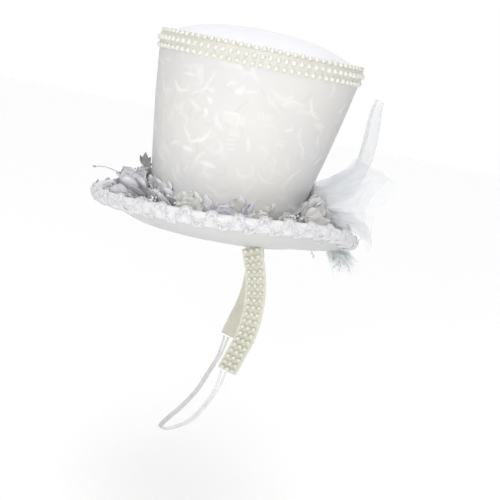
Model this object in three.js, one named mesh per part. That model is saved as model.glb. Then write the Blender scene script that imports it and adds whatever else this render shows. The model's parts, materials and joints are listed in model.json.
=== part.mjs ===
// A bridal top hat: an oval flared crown of satin-covered buckram, a brim curled up at the sides with a
// padded lace edge, three rows of flat-backed pearls round the tip, a garland of organza blossoms, a
// tulle bow at the back and a pearl-studded chin strap that swings under the brim.
// Millimetres, +Z up the crown, +X to the wearer's left, -Y to the front. The origin is the middle of
// the head opening, on the flat underside of the brim.
import * as THREE from "three";

// ---- Driving dimensions ----
const STEPS = 28; // facets round every oval piece
const GAP = 0.3; // clearance between neighbouring layers

const CROWN_HEIGHT = 180; // underside of the brim to the middle row of pearls
const BASE_HALF_LENGTH = 68.5; // outside of the crown at the brim, front to back
const TOP_HALF_LENGTH = 101.5; // outside of the crown at the middle row of pearls
const WIDTH_RATIO = 0.86; // width of every oval over its length
const WALL_BULGE = 2.8; // how far the wall bows out of straight at mid-height
const CROWN_LEAN = 9.5; // how far the top of the crown sits behind the head opening
const DOME_HEIGHT = 22; // rise of the padded tip over its rim
const DOME_POWER = 2.5; // above 2 the dome is flatter on top and rounder at the rim

const COVER = 0.7; // satin with its interfacing
const BUCKRAM = 1.6; // stiffened crown form
const LINING = 0.6;
const BRIM_FORM = 2; // stiffened brim form
const BRIM_SKIN = 0.6;

const LIP_HALF_LENGTH = 132.5; // head opening to brim edge ovals, at the middle of the padded edge
const LIP_HALF_WIDTH = 109;
const LIP_CENTRE_Y = 4.25;
const LIP_SIDE_HEIGHT = 26.5; // height of the padded edge over the underside, at the sides
const LIP_FRONT_HEIGHT = 15.5;
const LIP_BACK_HEIGHT = 12;
const LIP_REAR_LIFT = 8; // the side curl stands higher behind the temples
const CURL_SIDE = THREE.MathUtils.degToRad(75); // how steeply the edge turns up
const CURL_FRONT = THREE.MathUtils.degToRad(55);
const CURL_BACK = THREE.MathUtils.degToRad(35);
const CURL_POWER = 6; // how short the dips at the front and back are
const FLOOR_HEIGHT = 3.5; // the brim climbs this much from its seat round the opening to its curl
const FLOOR_FRONT_QUARTER = 8.5; // and this much more half way between the side and the front
const FLOOR_BACK_QUARTER = 1.5;
const SEAT_SHARE = 0.35; // the level share of the brim round the opening
const ROLL_HALF_HEIGHT = 7; // padded edge, along the brim
const ROLL_HALF_THICKNESS = 5.5; // padded edge, across the brim

const PEARL_WIDTH = 5.4; // flat-backed pearl on the crown
const PEARL_DEPTH = 2.1;
const PEARL_ROW_PITCH = 7.4;

const STRAP_WIDTH = 20;
const STRAP_THICKNESS = 0.8;
const STRAP_PIVOT = new THREE.Vector3(0, 36, -11); // the ribbon flexes here, just under its stitching
const STRAP_PEARL_RADIUS = 2.2;
const STRAP_PEARL_PITCH = 6.2; // between the three columns of pearls
const ELASTIC_WIDTH = 5;
const ELASTIC_THICKNESS = 1.4;

// ---- Materials ----
const satin = (color, roughness = 0.45) => new THREE.MeshStandardMaterial({ color, roughness, metalness: 0 });
const IVORY_JACQUARD = satin(0xeeece6, 0.4);
const PALE_SATIN = satin(0xf0f0f6, 0.35);
const GREY_SATIN = satin(0xd9d8d8, 0.5);
const BUCKRAM_CLOTH = satin(0xe4dfd2, 0.85);
const LINING_CLOTH = satin(0xf2f0ea, 0.5);
const RIBBON = satin(0xdedccb, 0.4);
const LACE = satin(0xf2f2f5, 0.8);
const PEARL = satin(0xe9e6d8, 0.25);
const TULLE = satin(0xd9dfe2, 0.7);
const FEATHER = satin(0xe6e9ec, 0.9);
const WIRE = new THREE.MeshStandardMaterial({ color: 0xc8c8cc, roughness: 0.35, metalness: 0.9 });
const RHINESTONE = new THREE.MeshStandardMaterial({ color: 0xdfe3ea, roughness: 0.08, metalness: 0.4 });
const ORGANZA = {
  grey: satin(0xb2b1b9, 0.5),
  lavender: satin(0xcfcde2, 0.5),
  cream: satin(0xe9e8df, 0.5),
  peach: satin(0xe6dcd4, 0.5),
};

const group = new THREE.Group();

function add(name, geometry, material, parent = group) {
  const mesh = new THREE.Mesh(geometry, material);
  mesh.name = name;
  parent.add(mesh);
  return mesh;
}

// Moves every vertex of a geometry with a named rule, then renews its normals.
function warp(geometry, rule) {
  const spots = geometry.attributes.position;
  const point = new THREE.Vector3();
  for (let i = 0; i < spots.count; i += 1) {
    point.fromBufferAttribute(spots, i);
    rule(point, i);
    spots.setXYZ(i, point.x, point.y, point.z);
  }
  geometry.computeVertexNormals();
  return geometry;
}

// A lathe whose profile is read in a piece's own section: place(angle, x, y, target) says where each
// profile point lies at each angle. A ring's profile closes on itself, and a disc's runs axis to axis.
function ovalSolid(profile, place, isRing = true) {
  const points = isRing ? [...profile, profile[0]] : profile;
  const lathe = new THREE.LatheGeometry(points, STEPS);
  return warp(lathe, (target, i) => {
    const step = Math.floor(i / points.length) % STEPS;
    const { x, y } = points[i % points.length];
    place((step / STEPS) * 2 * Math.PI, x, y, target);
  });
}

// A thin layer between two faces given point by point. Its second face is split along the same
// diagonals as its first, so that the curved layers of a stack stay parallel.
function layerSolid(firstFace, secondFace, place, isRing = true) {
  const profile = [...firstFace, ...[...secondFace].reverse()];
  const solid = ovalSolid(profile, place, isRing);
  const rows = solid.attributes.position.count / (STEPS + 1);
  const faces = solid.index.array;
  for (let step = 0; step < STEPS; step += 1) {
    for (let row = firstFace.length; row < profile.length - 1; row += 1) {
      const corner = step * rows + row;
      const quad = [corner, corner + rows, corner + rows + 1, corner + rows + 1, corner + 1, corner];
      faces.set(quad, 6 * (step * (rows - 1) + row));
    }
  }
  solid.computeVertexNormals();
  return solid;
}

const v2 = (x, y) => new THREE.Vector2(x, y);
const v3 = (x, y, z) => new THREE.Vector3(x, y, z);

// ---- Crown ----
const halfLength = (z) => {
  const share = z / CROWN_HEIGHT;
  const straight = THREE.MathUtils.lerp(BASE_HALF_LENGTH, TOP_HALF_LENGTH, share);
  return straight + 4 * WALL_BULGE * share * (1 - share);
};
const centreY = (z) => (CROWN_LEAN * z) / CROWN_HEIGHT;

// A point a given distance outside the crown's outer surface.
function onCrown(angle, outside, z, target) {
  const length = halfLength(z);
  const x = (length * WIDTH_RATIO + outside) * Math.cos(angle);
  return target.set(x, centreY(z) + (length + outside) * Math.sin(angle), z);
}

const CROWN_BOTTOM = BRIM_FORM + 2 * BRIM_SKIN + 3 * GAP;
function crownShell(outer, inner, bottom, top) {
  const levels = [bottom, 60, 120, top];
  const face = (outside) => levels.map((z) => v2(outside, z));
  return layerSolid(face(outer), face(inner), onCrown);
}

const FORM_FACE = -COVER - GAP;
const LINING_FACE = FORM_FACE - BUCKRAM - GAP;
const BAND_FACE = LINING_FACE - LINING - 2 * GAP;
add("crown_side_cover", crownShell(0, -COVER, CROWN_BOTTOM, 182.9), IVORY_JACQUARD);
add("crown_side_form", crownShell(FORM_FACE, FORM_FACE - BUCKRAM, CROWN_BOTTOM, 181), BUCKRAM_CLOTH);
add("crown_side_lining", crownShell(LINING_FACE, LINING_FACE - LINING, CROWN_BOTTOM, 180.2), LINING_CLOTH);

// Tip: a padded dome, given by its share of the rim's radius and the height of its upper face.
const TIP_RIM_Z = 184;
const tipHeight = (share) => TIP_RIM_Z + DOME_HEIGHT * (1 - share ** DOME_POWER);
function tipShell(rim, top, thickness) {
  const shares = [0, 0.45, 0.75, 0.92, 1];
  const place = (angle, share, z, target) => {
    const radius = share * rim * (TOP_HALF_LENGTH - 0.5);
    return target.set(radius * WIDTH_RATIO * Math.cos(angle), CROWN_LEAN + radius * Math.sin(angle), z);
  };
  const face = (depth) => shares.map((share) => v2(share, tipHeight(share) - depth));
  return layerSolid(face(top + thickness), face(top), place, false);
}
const TIP_FORM_TOP = COVER + GAP;
add("crown_tip_cover", tipShell(1, 0, COVER), PALE_SATIN);
add("crown_tip_form", tipShell(0.985, TIP_FORM_TOP, BUCKRAM), BUCKRAM_CLOTH);
add("crown_tip_lining", tipShell(0.965, TIP_FORM_TOP + BUCKRAM + GAP, LINING), LINING_CLOTH);

const band = (outer, inner, bottom, top) => [v2(outer, bottom), v2(outer, top), v2(inner, top), v2(inner, bottom)];
add("sweatband", ovalSolid(band(BAND_FACE, BAND_FACE - 1, GAP, 27), onCrown), RIBBON);
add("garland_band", ovalSolid(band(2.6, GAP, CROWN_BOTTOM, 20), onCrown), ORGANZA.cream);

// ---- Pearl trim round the tip: flat-backed pearls in three rows ----
// Section of one row: a low half-round on its back, turned so that its back faces the crown.
function pearlRow(outside, z, tilt) {
  const half = PEARL_WIDTH / 2;
  const outline = [
    [0, -half],
    [0.75 * PEARL_DEPTH, -0.62 * half],
    [PEARL_DEPTH, 0],
    [0.75 * PEARL_DEPTH, 0.62 * half],
    [0, half],
  ];
  const turned = outline.map(([depth, across]) => {
    const x = depth * Math.cos(tilt) - across * Math.sin(tilt);
    return v2(outside + x, z + depth * Math.sin(tilt) + across * Math.cos(tilt));
  });
  return ovalSolid(turned, onCrown);
}
const TAPE_FACE = 2 * GAP + 0.3;
const TOP_ROW_TILT = THREE.MathUtils.degToRad(60);
add("pearl_tape", ovalSolid(band(2 * GAP, GAP, 169.5, 182.6), onCrown), RIBBON);
add("pearl_row_bottom", pearlRow(TAPE_FACE, CROWN_HEIGHT - PEARL_ROW_PITCH, 0), PEARL);
add("pearl_row_middle", pearlRow(TAPE_FACE, CROWN_HEIGHT, 0), PEARL);
add("pearl_row_top", pearlRow(-3.6, CROWN_HEIGHT + PEARL_ROW_PITCH - 0.2, TOP_ROW_TILT), PEARL);

// ---- Brim ----
const OPENING_HALF_LENGTH = BASE_HALF_LENGTH - 2.3;
const OPENING_HALF_WIDTH = BASE_HALF_LENGTH * WIDTH_RATIO - 2.3;

// Blends a side, a front and a back value round the brim.
function roundBrim(angle, side, front, back) {
  const behind = Math.sin(angle);
  const end = THREE.MathUtils.lerp(front, back, (1 + behind) / 2);
  return THREE.MathUtils.lerp(side, end, Math.abs(behind) ** CURL_POWER);
}

// The brim's section at an angle: a level seat, a gentle climb to its floor, then one arc up to the padded edge.
function brimSection(angle) {
  const start = v2(OPENING_HALF_WIDTH * Math.cos(angle), OPENING_HALF_LENGTH * Math.sin(angle));
  const end = v2(LIP_HALF_WIDTH * Math.cos(angle), LIP_CENTRE_Y + LIP_HALF_LENGTH * Math.sin(angle));
  const outward = end.clone().sub(start);
  const run = outward.length();
  const quarter = THREE.MathUtils.lerp(FLOOR_FRONT_QUARTER, FLOOR_BACK_QUARTER, (1 + Math.sin(angle)) / 2);
  const floor = FLOOR_HEIGHT + quarter * Math.abs(Math.sin(2 * angle)) ** 1.5;
  const side = LIP_SIDE_HEIGHT + LIP_REAR_LIFT * Math.sin(angle);
  const rise = roundBrim(angle, side, LIP_FRONT_HEIGHT, LIP_BACK_HEIGHT) - floor;
  const turn = roundBrim(angle, CURL_SIDE, CURL_FRONT, CURL_BACK);
  const radius = rise / (1 - Math.cos(turn));
  const flat = run - radius * Math.sin(turn);
  return { start, outward: outward.normalize(), floor, radius, turn, flat, length: flat + radius * turn };
}

// A point at a distance along the section from the opening and a height over the underside.
function onBrim(angle, along, over, target) {
  const { start, outward, floor, radius, turn, flat, length } = brimSection(angle);
  const swept = Math.min(Math.max(along - flat, 0) / radius, turn);
  const past = Math.max(along - length, 0);
  const reach = Math.min(along, flat) + radius * Math.sin(swept) + past * Math.cos(swept);
  const out = reach - over * Math.sin(swept);
  const climb = floor * THREE.MathUtils.smoothstep(along, SEAT_SHARE * flat, flat);
  const z = climb + radius * (1 - Math.cos(swept)) + past * Math.sin(swept) + over * Math.cos(swept);
  return target.set(start.x + outward.x * out, start.y + outward.y * out, z);
}

// Profile x runs 0 to 1 over the seat and floor and 1 to 2 up the arc.
function onBrimShare(angle, share, over, target) {
  const { radius, turn, flat } = brimSection(angle);
  const along = Math.min(share, 1) * flat + Math.max(share - 1, 0) * radius * turn;
  return onBrim(angle, along, over, target);
}

function brimShell(bottom, top) {
  const shares = [0, 0.35, 0.55, 0.8, 1, 1.3, 1.65, 1.98];
  const face = (over) => shares.map((share) => v2(share, over));
  return layerSolid(face(bottom), face(top), onBrimShare);
}
const FORM_BOTTOM = BRIM_SKIN + GAP;
const TOP_SKIN_BOTTOM = FORM_BOTTOM + BRIM_FORM + GAP;
const BRIM_THICKNESS = TOP_SKIN_BOTTOM + BRIM_SKIN;
add("brim_under_cover", brimShell(0, BRIM_SKIN), GREY_SATIN);
add("brim_form", brimShell(FORM_BOTTOM, FORM_BOTTOM + BRIM_FORM), BUCKRAM_CLOTH);
add("brim_top_cover", brimShell(TOP_SKIN_BOTTOM, BRIM_THICKNESS), GREY_SATIN);

// Padded edge: profile x is the distance past the end of the brim's section.
const pastEdge = (angle, past, over, target) => onBrim(angle, brimSection(angle).length + past, over, target);
const EDGE_MIDDLE = BRIM_THICKNESS / 2;
function rollPoint(degrees, grow) {
  const turn = THREE.MathUtils.degToRad(degrees);
  const past = (ROLL_HALF_HEIGHT + grow) * Math.cos(turn);
  return v2(0.5 + past, EDGE_MIDDLE + (ROLL_HALF_THICKNESS + grow) * Math.sin(turn));
}
const ROLL_TURNS = [-145, -110, -70, -25, 25, 70, 110, 145];
const rollOutline = ROLL_TURNS.map((degrees) => rollPoint(degrees, 0));
const MOUTH_DEPTHS = [-6, 0, 2.6]; // the mouth grips the brim this far either side of its cut edge
const MOUTH_CLEARANCE = 1;
const mouthTop = MOUTH_DEPTHS.map((past) => v2(past, BRIM_THICKNESS + MOUTH_CLEARANCE));
const mouthUnder = MOUTH_DEPTHS.map((past) => v2(past, -MOUTH_CLEARANCE)).reverse();
add("brim_edge_binding", ovalSolid([...rollOutline, ...mouthTop, ...mouthUnder], pastEdge), PALE_SATIN);

const WIRE_HALF = 0.8;
const wireSection = [0, 90, 180, 270].map((degrees) => {
  const turn = THREE.MathUtils.degToRad(degrees);
  return v2(1.3 + WIRE_HALF * Math.cos(turn), EDGE_MIDDLE + WIRE_HALF * Math.sin(turn));
});
add("brim_wire", ovalSolid(wireSection, pastEdge), WIRE);

const LACE_TURNS = [-110, -70, -25, 25, 70];
const laceOutside = LACE_TURNS.map((degrees) => rollPoint(degrees, 1.5));
const laceInside = LACE_TURNS.map((degrees) => rollPoint(degrees, 0.8)).reverse();
add("brim_lace_edging", ovalSolid([...laceOutside, ...laceInside], pastEdge), LACE);

// ---- Garland ----
// Turns and places a mesh so that its local +Z looks out from the crown at an angle, raised by a tilt.
function standOut(mesh, degrees, z, standOff, tiltDegrees) {
  const angle = THREE.MathUtils.degToRad(degrees);
  const tilt = THREE.MathUtils.degToRad(tiltDegrees);
  const out = v3(Math.cos(angle) / WIDTH_RATIO, Math.sin(angle), 0).normalize();
  const facing = out.clone().multiplyScalar(Math.cos(tilt)).add(v3(0, 0, Math.sin(tilt)));
  const across = v3(0, 0, 1).cross(out);
  mesh.quaternion.setFromRotationMatrix(new THREE.Matrix4().makeBasis(across, facing.clone().cross(across), facing));
  onCrown(angle, 0, z, mesh.position).addScaledVector(out, standOff);
}

// A flattened ball with lobes round its edge, like an open blossom.
const LOBE_DEPTH = 0.14;
function blossom(radius, depth, lobes, rings = 5) {
  const ball = new THREE.SphereGeometry(1, lobes * 3, rings).rotateX(Math.PI / 2);
  return warp(ball, (point) => {
    const reach = radius * (1 - LOBE_DEPTH + LOBE_DEPTH * Math.cos(lobes * Math.atan2(point.y, point.x)));
    point.set(point.x * reach, point.y * reach, (point.z * depth) / 2);
  });
}

const BLOSSOM_DEPTH = 8;
const SIDE_BLOSSOM = { z: 25, off: 13, radius: 15.5, tilt: 18 };
const END_BLOSSOM = { z: 33, off: 18, radius: 17.5, tilt: 26 };
const BLOSSOMS = [
  { name: "blossom_front_left", at: -75, colour: "grey", jewel: "pearl", ...END_BLOSSOM },
  { name: "blossom_left_1", at: -49, colour: "lavender", jewel: "rhinestone", ...SIDE_BLOSSOM },
  { name: "blossom_left_2", at: -23, colour: "cream", ...SIDE_BLOSSOM },
  { name: "blossom_left_3", at: 1, colour: "lavender", ...SIDE_BLOSSOM },
  { name: "blossom_left_4", at: 25, colour: "peach", ...SIDE_BLOSSOM },
  { name: "blossom_left_5", at: 50, colour: "cream", jewel: "rhinestone", ...SIDE_BLOSSOM },
  { name: "blossom_back_left", at: 76, colour: "grey", jewel: "rhinestone", ...END_BLOSSOM },
  { name: "blossom_back_right", at: 104, colour: "grey", ...END_BLOSSOM },
  { name: "blossom_right_5", at: 130, colour: "cream", jewel: "rhinestone", ...SIDE_BLOSSOM },
  { name: "blossom_right_4", at: 155, colour: "peach", ...SIDE_BLOSSOM },
  { name: "blossom_right_3", at: 179, colour: "lavender", ...SIDE_BLOSSOM },
  { name: "blossom_right_2", at: 203, colour: "cream", ...SIDE_BLOSSOM },
  { name: "blossom_right_1", at: 229, colour: "lavender", jewel: "rhinestone", ...SIDE_BLOSSOM },
  { name: "blossom_front_right", at: 255, colour: "grey", jewel: "pearl", ...END_BLOSSOM },
];
const JEWEL_DEPTH = 5;
for (const { name, at, colour, jewel, z, off, radius, tilt } of BLOSSOMS) {
  standOut(add(name, blossom(radius, BLOSSOM_DEPTH, 5), ORGANZA[colour]), at, z, off, tilt);
  if (jewel) {
    const stone = add(name.replace("blossom", jewel), blossom(5.5, JEWEL_DEPTH, 4), jewel === "pearl" ? PEARL : RHINESTONE);
    standOut(stone, at, z, off, tilt);
    stone.translateZ((BLOSSOM_DEPTH + JEWEL_DEPTH) / 2 + GAP);
  }
}

// A leafy sprig: a flat stem that swells at each pair of leaves, standing up from the garland.
function sprig(length, width, pairs) {
  const profile = [v2(0, 0)];
  for (let i = 0; i < pairs; i += 1) {
    const taper = 1 - (0.5 * i) / pairs;
    profile.push(v2(0.18 * width, ((i + 0.1) / pairs) * length), v2((taper * width) / 2, ((i + 0.55) / pairs) * length));
  }
  profile.push(v2(0, length));
  return new THREE.LatheGeometry(profile, 8).scale(1, 1, 0.3);
}
const frontSprig = add("leaf_sprig_front", sprig(24, 13, 3), ORGANZA.grey);
standOut(frontSprig, -84, 50, 5.5, -8);
const backSprig = add("leaf_sprig_back", sprig(26, 14, 3), ORGANZA.grey);
standOut(backSprig, 62, 44, 12, -30);

// ---- Pieces bent along a path ----
// Takes a solid that runs 0 to 1 along Z and lays it on a curve: local X goes across, local Y stands out.
function layAlong(geometry, curve, acrossAt, scaleAt = () => 1) {
  return warp(geometry, (point) => {
    const share = THREE.MathUtils.clamp(point.z, 0, 1);
    const tangent = curve.getTangentAt(share);
    const across = acrossAt(share, tangent);
    const standing = tangent.clone().cross(across).normalize();
    const { x, y } = point;
    curve.getPointAt(share, point).addScaledVector(across, x * scaleAt(share)).addScaledVector(standing, y);
  });
}
const bar = (width, thickness, steps) =>
  new THREE.BoxGeometry(width, thickness, 1, 1, 1, steps).translate(0, 0, 0.5);
const rod = (radius, sides, steps) =>
  new THREE.CylinderGeometry(radius, radius, 1, sides, steps).rotateX(Math.PI / 2).translate(0, 0, 0.5);

const stamenLine = new THREE.CatmullRomCurve3([v3(24, -107, 42), v3(24, -117, 44.5), v3(23, -125, 44.5), v3(22, -133, 43)]);
const stamenBulge = (share) => (share > 0.86 ? 2.4 : 1);
add(
  "stamen",
  layAlong(rod(0.7, 6, 12), stamenLine, (share, tangent) => tangent.clone().cross(v3(0, 0, 1)).normalize(), stamenBulge),
  WIRE,
);

// ---- Tulle bow and marabou at the back ----
const TULLE_THICKNESS = 5;
function tullePanel(points, root, end) {
  const curve = new THREE.CatmullRomCurve3(points);
  const across = (share, tangent) => {
    const sideways = v3(1, 0, 0);
    return sideways.addScaledVector(tangent, -sideways.dot(tangent)).normalize();
  };
  return layAlong(bar(1, TULLE_THICKNESS, 7), curve, across, (share) => THREE.MathUtils.lerp(root, end, share));
}
const knot = add("tulle_knot", blossom(9, 12, 4), TULLE);
standOut(knot, 90, 57, 11, 0);
const tallLoop = [v3(0, 103.5, 66), v3(0, 114, 86), v3(0, 119, 112), v3(0, 125, 140), v3(0, 131, 161)];
add("tulle_tall_loop", tullePanel(tallLoop, 12, 52), TULLE);
const FAN = [v3(9, 108, 57), v3(16, 124, 66), v3(27, 143, 78), v3(36, 163, 86)];
const TAIL = [v3(9, 105, 45), v3(14, 124, 41), v3(18, 142, 36), v3(19, 153, 25), v3(18, 154, 9)];
const mirror = (points) => points.map(({ x, y, z }) => v3(-x, y, z));
add("tulle_fan_left", tullePanel(FAN, 10, 46), TULLE);
add("tulle_fan_right", tullePanel(mirror(FAN), 10, 46), TULLE);
add("tulle_tail_left", tullePanel(TAIL, 12, 30), TULLE);
add("tulle_tail_right", tullePanel(mirror(TAIL), 12, 30), TULLE);

const marabou = add("marabou_puff", blossom(1, 18, 5), FEATHER);
marabou.scale.set(34, 14, 1);
marabou.position.set(0, 122, -10);

// ---- Chin strap ----
// The ribbon's middle line on the wearer's left, from its stitching under the brim to its lower end.
const STRAP_LINE = [
  v3(62.5, 32, -1),
  v3(62.5, STRAP_PIVOT.y, STRAP_PIVOT.z),
  v3(62.5, 40.6, -22),
  v3(68, 46, -38),
  v3(73, 47.6, -60),
  v3(72, 43.9, -85),
  v3(68, 37.3, -107),
  v3(63, 33, -126),
];
const ELASTIC_HALF = [
  v3(62.8, 32.7, -126.8),
  v3(61, 29.5, -146),
  v3(56, 22.5, -165),
  v3(45, 12, -188),
  v3(30, -1, -204.5),
  v3(15, -14, -216),
];
const CHIN = v3(0, -19.5, -220);

// Across the ribbon, at right angles to its line and to the side of the head.
function ribbonAcross(share, tangent) {
  return v3(1, 0, 0).cross(tangent).normalize();
}

// The ribbon's upper end is a half round about the pivot, so that it turns clear of the brim.
function roundedEnd(curve) {
  const length = curve.getLength();
  const half = STRAP_WIDTH / 2;
  return (share) => {
    const short = Math.max(half - share * length, 0);
    return Math.sqrt(Math.max(half * half - short * short, 0.04)) / half;
  };
}

const strap = new THREE.Group();
group.add(strap);
for (const side of [1, -1]) {
  const name = side > 0 ? "left" : "right";
  const mirrored = (x, y, z) => v3(side * x, y, z);
  const ribbonLine = new THREE.CatmullRomCurve3(STRAP_LINE.map(({ x, y, z }) => mirrored(x, y, z)));
  const ribbon = layAlong(bar(STRAP_WIDTH, STRAP_THICKNESS, 18), ribbonLine, ribbonAcross, roundedEnd(ribbonLine));
  add(`strap_ribbon_${name}`, ribbon, RIBBON, strap);

  const tabX = STRAP_LINE[0].x - STRAP_THICKNESS - GAP;
  const tabLine = new THREE.LineCurve3(mirrored(tabX, STRAP_PIVOT.y, -GAP), mirrored(tabX, STRAP_PIVOT.y, -20));
  add(`strap_tab_${name}`, layAlong(bar(STRAP_WIDTH, STRAP_THICKNESS, 1), tabLine, ribbonAcross), RIBBON);

  const lift = STRAP_THICKNESS / 2 + GAP + STRAP_PEARL_RADIUS;
  for (const column of [-1, 0, 1]) {
    const spots = [];
    for (let share = 0.045; share < 0.99; share += 0.093) {
      const tangent = ribbonLine.getTangentAt(share);
      const across = ribbonAcross(share, tangent);
      const outward = across.clone().cross(tangent).normalize();
      const spot = ribbonLine.getPointAt(share).addScaledVector(across, side * column * STRAP_PEARL_PITCH);
      spots.push(spot.addScaledVector(outward.x * side > 0 ? outward : outward.negate(), lift));
    }
    const pearls = layAlong(rod(STRAP_PEARL_RADIUS, 6, 14), new THREE.CatmullRomCurve3(spots), ribbonAcross);
    add(`strap_pearls_${name}_${column + 2}`, pearls, PEARL, strap);
  }
}

const elasticRight = ELASTIC_HALF.map(({ x, y, z }) => v3(-x, y, z)).reverse();
const elasticLine = new THREE.CatmullRomCurve3([...ELASTIC_HALF, CHIN, ...elasticRight]);
const elasticSection = new THREE.CylinderGeometry(ELASTIC_WIDTH / 2, ELASTIC_WIDTH / 2, 1, 8, 36)
  .rotateX(Math.PI / 2)
  .scale(1, ELASTIC_THICKNESS / ELASTIC_WIDTH, 1)
  .translate(0, 0, 0.5);
// The elastic lies flat on the jaw: its width runs front to back under the chin and along the cheek.
function elasticAcross(share, tangent) {
  const forward = v3(0, -1, 0.45);
  return forward.addScaledVector(tangent, -forward.dot(tangent)).normalize();
}
add("chin_elastic", layAlong(elasticSection, elasticLine, elasticAcross), LINING_CLOTH, strap);

export default group;
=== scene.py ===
"""A bridal top hat, built round its CAD frame: jacquard crown, curled brim with a padded lace edge, pearls,
an organza garland, a tulle bow with marabou, and a pearl-studded chin strap.

The rules below work in millimetres in the frame's own axes, and make_piece() turns them into metres."""

import json
import math
import random

import bpy
import numpy as np
from mathutils import Matrix, Vector


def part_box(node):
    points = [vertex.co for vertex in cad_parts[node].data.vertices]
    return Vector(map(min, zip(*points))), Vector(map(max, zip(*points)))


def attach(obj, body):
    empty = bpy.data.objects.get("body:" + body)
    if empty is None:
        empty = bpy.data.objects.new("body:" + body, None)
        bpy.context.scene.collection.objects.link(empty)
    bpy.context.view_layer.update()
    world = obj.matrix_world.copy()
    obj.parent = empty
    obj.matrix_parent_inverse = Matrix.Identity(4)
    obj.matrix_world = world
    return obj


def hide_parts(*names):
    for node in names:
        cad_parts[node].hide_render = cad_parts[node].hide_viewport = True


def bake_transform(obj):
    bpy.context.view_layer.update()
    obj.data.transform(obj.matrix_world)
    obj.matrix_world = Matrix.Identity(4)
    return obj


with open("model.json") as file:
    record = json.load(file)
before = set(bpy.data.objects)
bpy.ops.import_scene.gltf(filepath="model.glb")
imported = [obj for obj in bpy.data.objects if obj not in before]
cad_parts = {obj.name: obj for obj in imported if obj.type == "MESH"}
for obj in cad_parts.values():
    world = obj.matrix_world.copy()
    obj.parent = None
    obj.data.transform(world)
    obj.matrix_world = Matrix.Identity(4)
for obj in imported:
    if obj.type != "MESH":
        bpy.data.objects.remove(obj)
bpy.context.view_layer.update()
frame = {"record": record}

MM = 0.001
TAU = 2 * math.pi
RIGID, SWINGING = "hat", "chin_strap"


# ---------------------------------------------------------------- sizes, the same as the frame's
CROWN_HEIGHT = 180.0
BASE_HALF_LENGTH = 68.5
TOP_HALF_LENGTH = 101.5
WIDTH_RATIO = 0.86
WALL_BULGE = 2.8
CROWN_LEAN = 9.5
DOME_HEIGHT = 22.0
DOME_POWER = 2.5
TIP_RIM_Z = 184.0
CROWN_BOTTOM = 4.1

OPENING_HALF_LENGTH = 66.2
OPENING_HALF_WIDTH = 56.61
LIP_HALF_LENGTH = 132.5
LIP_HALF_WIDTH = 109.0
LIP_CENTRE_Y = 4.25
LIP_HEIGHTS = {"side": 26.5, "front": 15.5, "back": 12.0}
LIP_REAR_LIFT = 8.0
CURLS = {"side": math.radians(75), "front": math.radians(55), "back": math.radians(35)}
CURL_POWER = 6
FLOOR_HEIGHT = 3.5
FLOOR_QUARTERS = {"front": 8.5, "back": 1.5}
SEAT_SHARE = 0.35
BRIM_THICKNESS = 3.8
ROLL_HALF_HEIGHT = 7.0
ROLL_HALF_THICKNESS = 5.5
ROLL_MIDDLE = (0.5, 1.9)

STRAP_LINE = [
    (62.5, 35.5, 1), (63.2, 40, -11), (65.2, 44, -23), (68.6, 47.4, -39),
    (71.5, 49, -60), (71.2, 46.6, -85), (67.8, 40.8, -107), (63, 35.5, -126),
]
ELASTIC_HALF = [
    (62.8, 32.7, -126.8), (61, 29.5, -146), (56, 22.5, -165),
    (45, 12, -188), (30, -1, -204.5), (15, -14, -216),
]
CHIN = (0, -19.5, -220)


# ---------------------------------------------------------------- shape rules
def half_length(z):
    share = np.asarray(z, float) / CROWN_HEIGHT
    straight = BASE_HALF_LENGTH + (TOP_HALF_LENGTH - BASE_HALF_LENGTH) * share
    return straight + 4 * WALL_BULGE * share * (1 - share)


def on_crown(angle, outside, z):
    """Points a distance outside the crown's outer surface, at an angle round it and a height."""
    length = half_length(z)
    x = (length * WIDTH_RATIO + outside) * np.cos(angle)
    y = CROWN_LEAN * np.asarray(z, float) / CROWN_HEIGHT + (length + outside) * np.sin(angle)
    return np.stack(np.broadcast_arrays(x, y, np.asarray(z, float)), -1)


def on_tip(angle, share, depth):
    """Points on the domed tip, at a share of its rim's radius and a depth under its top face."""
    radius = share * (TOP_HALF_LENGTH - 0.5)
    z = TIP_RIM_Z + DOME_HEIGHT * (1 - np.abs(share) ** DOME_POWER) - depth
    x = radius * WIDTH_RATIO * np.cos(angle)
    y = CROWN_LEAN + radius * np.sin(angle)
    return np.stack(np.broadcast_arrays(x, y, z), -1)


def round_brim(angle, side, front, back):
    """Blends a side, a front and a back value round the brim."""
    behind = np.sin(angle)
    end = front + (back - front) * (1 + behind) / 2
    return side + (end - side) * np.abs(behind) ** CURL_POWER


def brim_section(angle):
    """The brim section's start, outward direction, floor height, arc radius, arc turn and flat run."""
    cos, sin = np.cos(angle), np.sin(angle)
    start = np.stack([OPENING_HALF_WIDTH * cos, OPENING_HALF_LENGTH * sin], -1)
    end = np.stack([LIP_HALF_WIDTH * cos, LIP_CENTRE_Y + LIP_HALF_LENGTH * sin], -1)
    run = np.linalg.norm(end - start, axis=-1)
    side = LIP_HEIGHTS["side"] + LIP_REAR_LIFT * sin
    quarter = FLOOR_QUARTERS["front"] + (FLOOR_QUARTERS["back"] - FLOOR_QUARTERS["front"]) * (1 + sin) / 2
    floor = FLOOR_HEIGHT + quarter * np.abs(np.sin(2 * angle)) ** 1.5
    rise = round_brim(angle, side, LIP_HEIGHTS["front"], LIP_HEIGHTS["back"]) - floor
    turn = round_brim(angle, CURLS["side"], CURLS["front"], CURLS["back"])
    radius = rise / (1 - np.cos(turn))
    return start, (end - start) / run[..., None], floor, radius, turn, run - radius * np.sin(turn)


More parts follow.
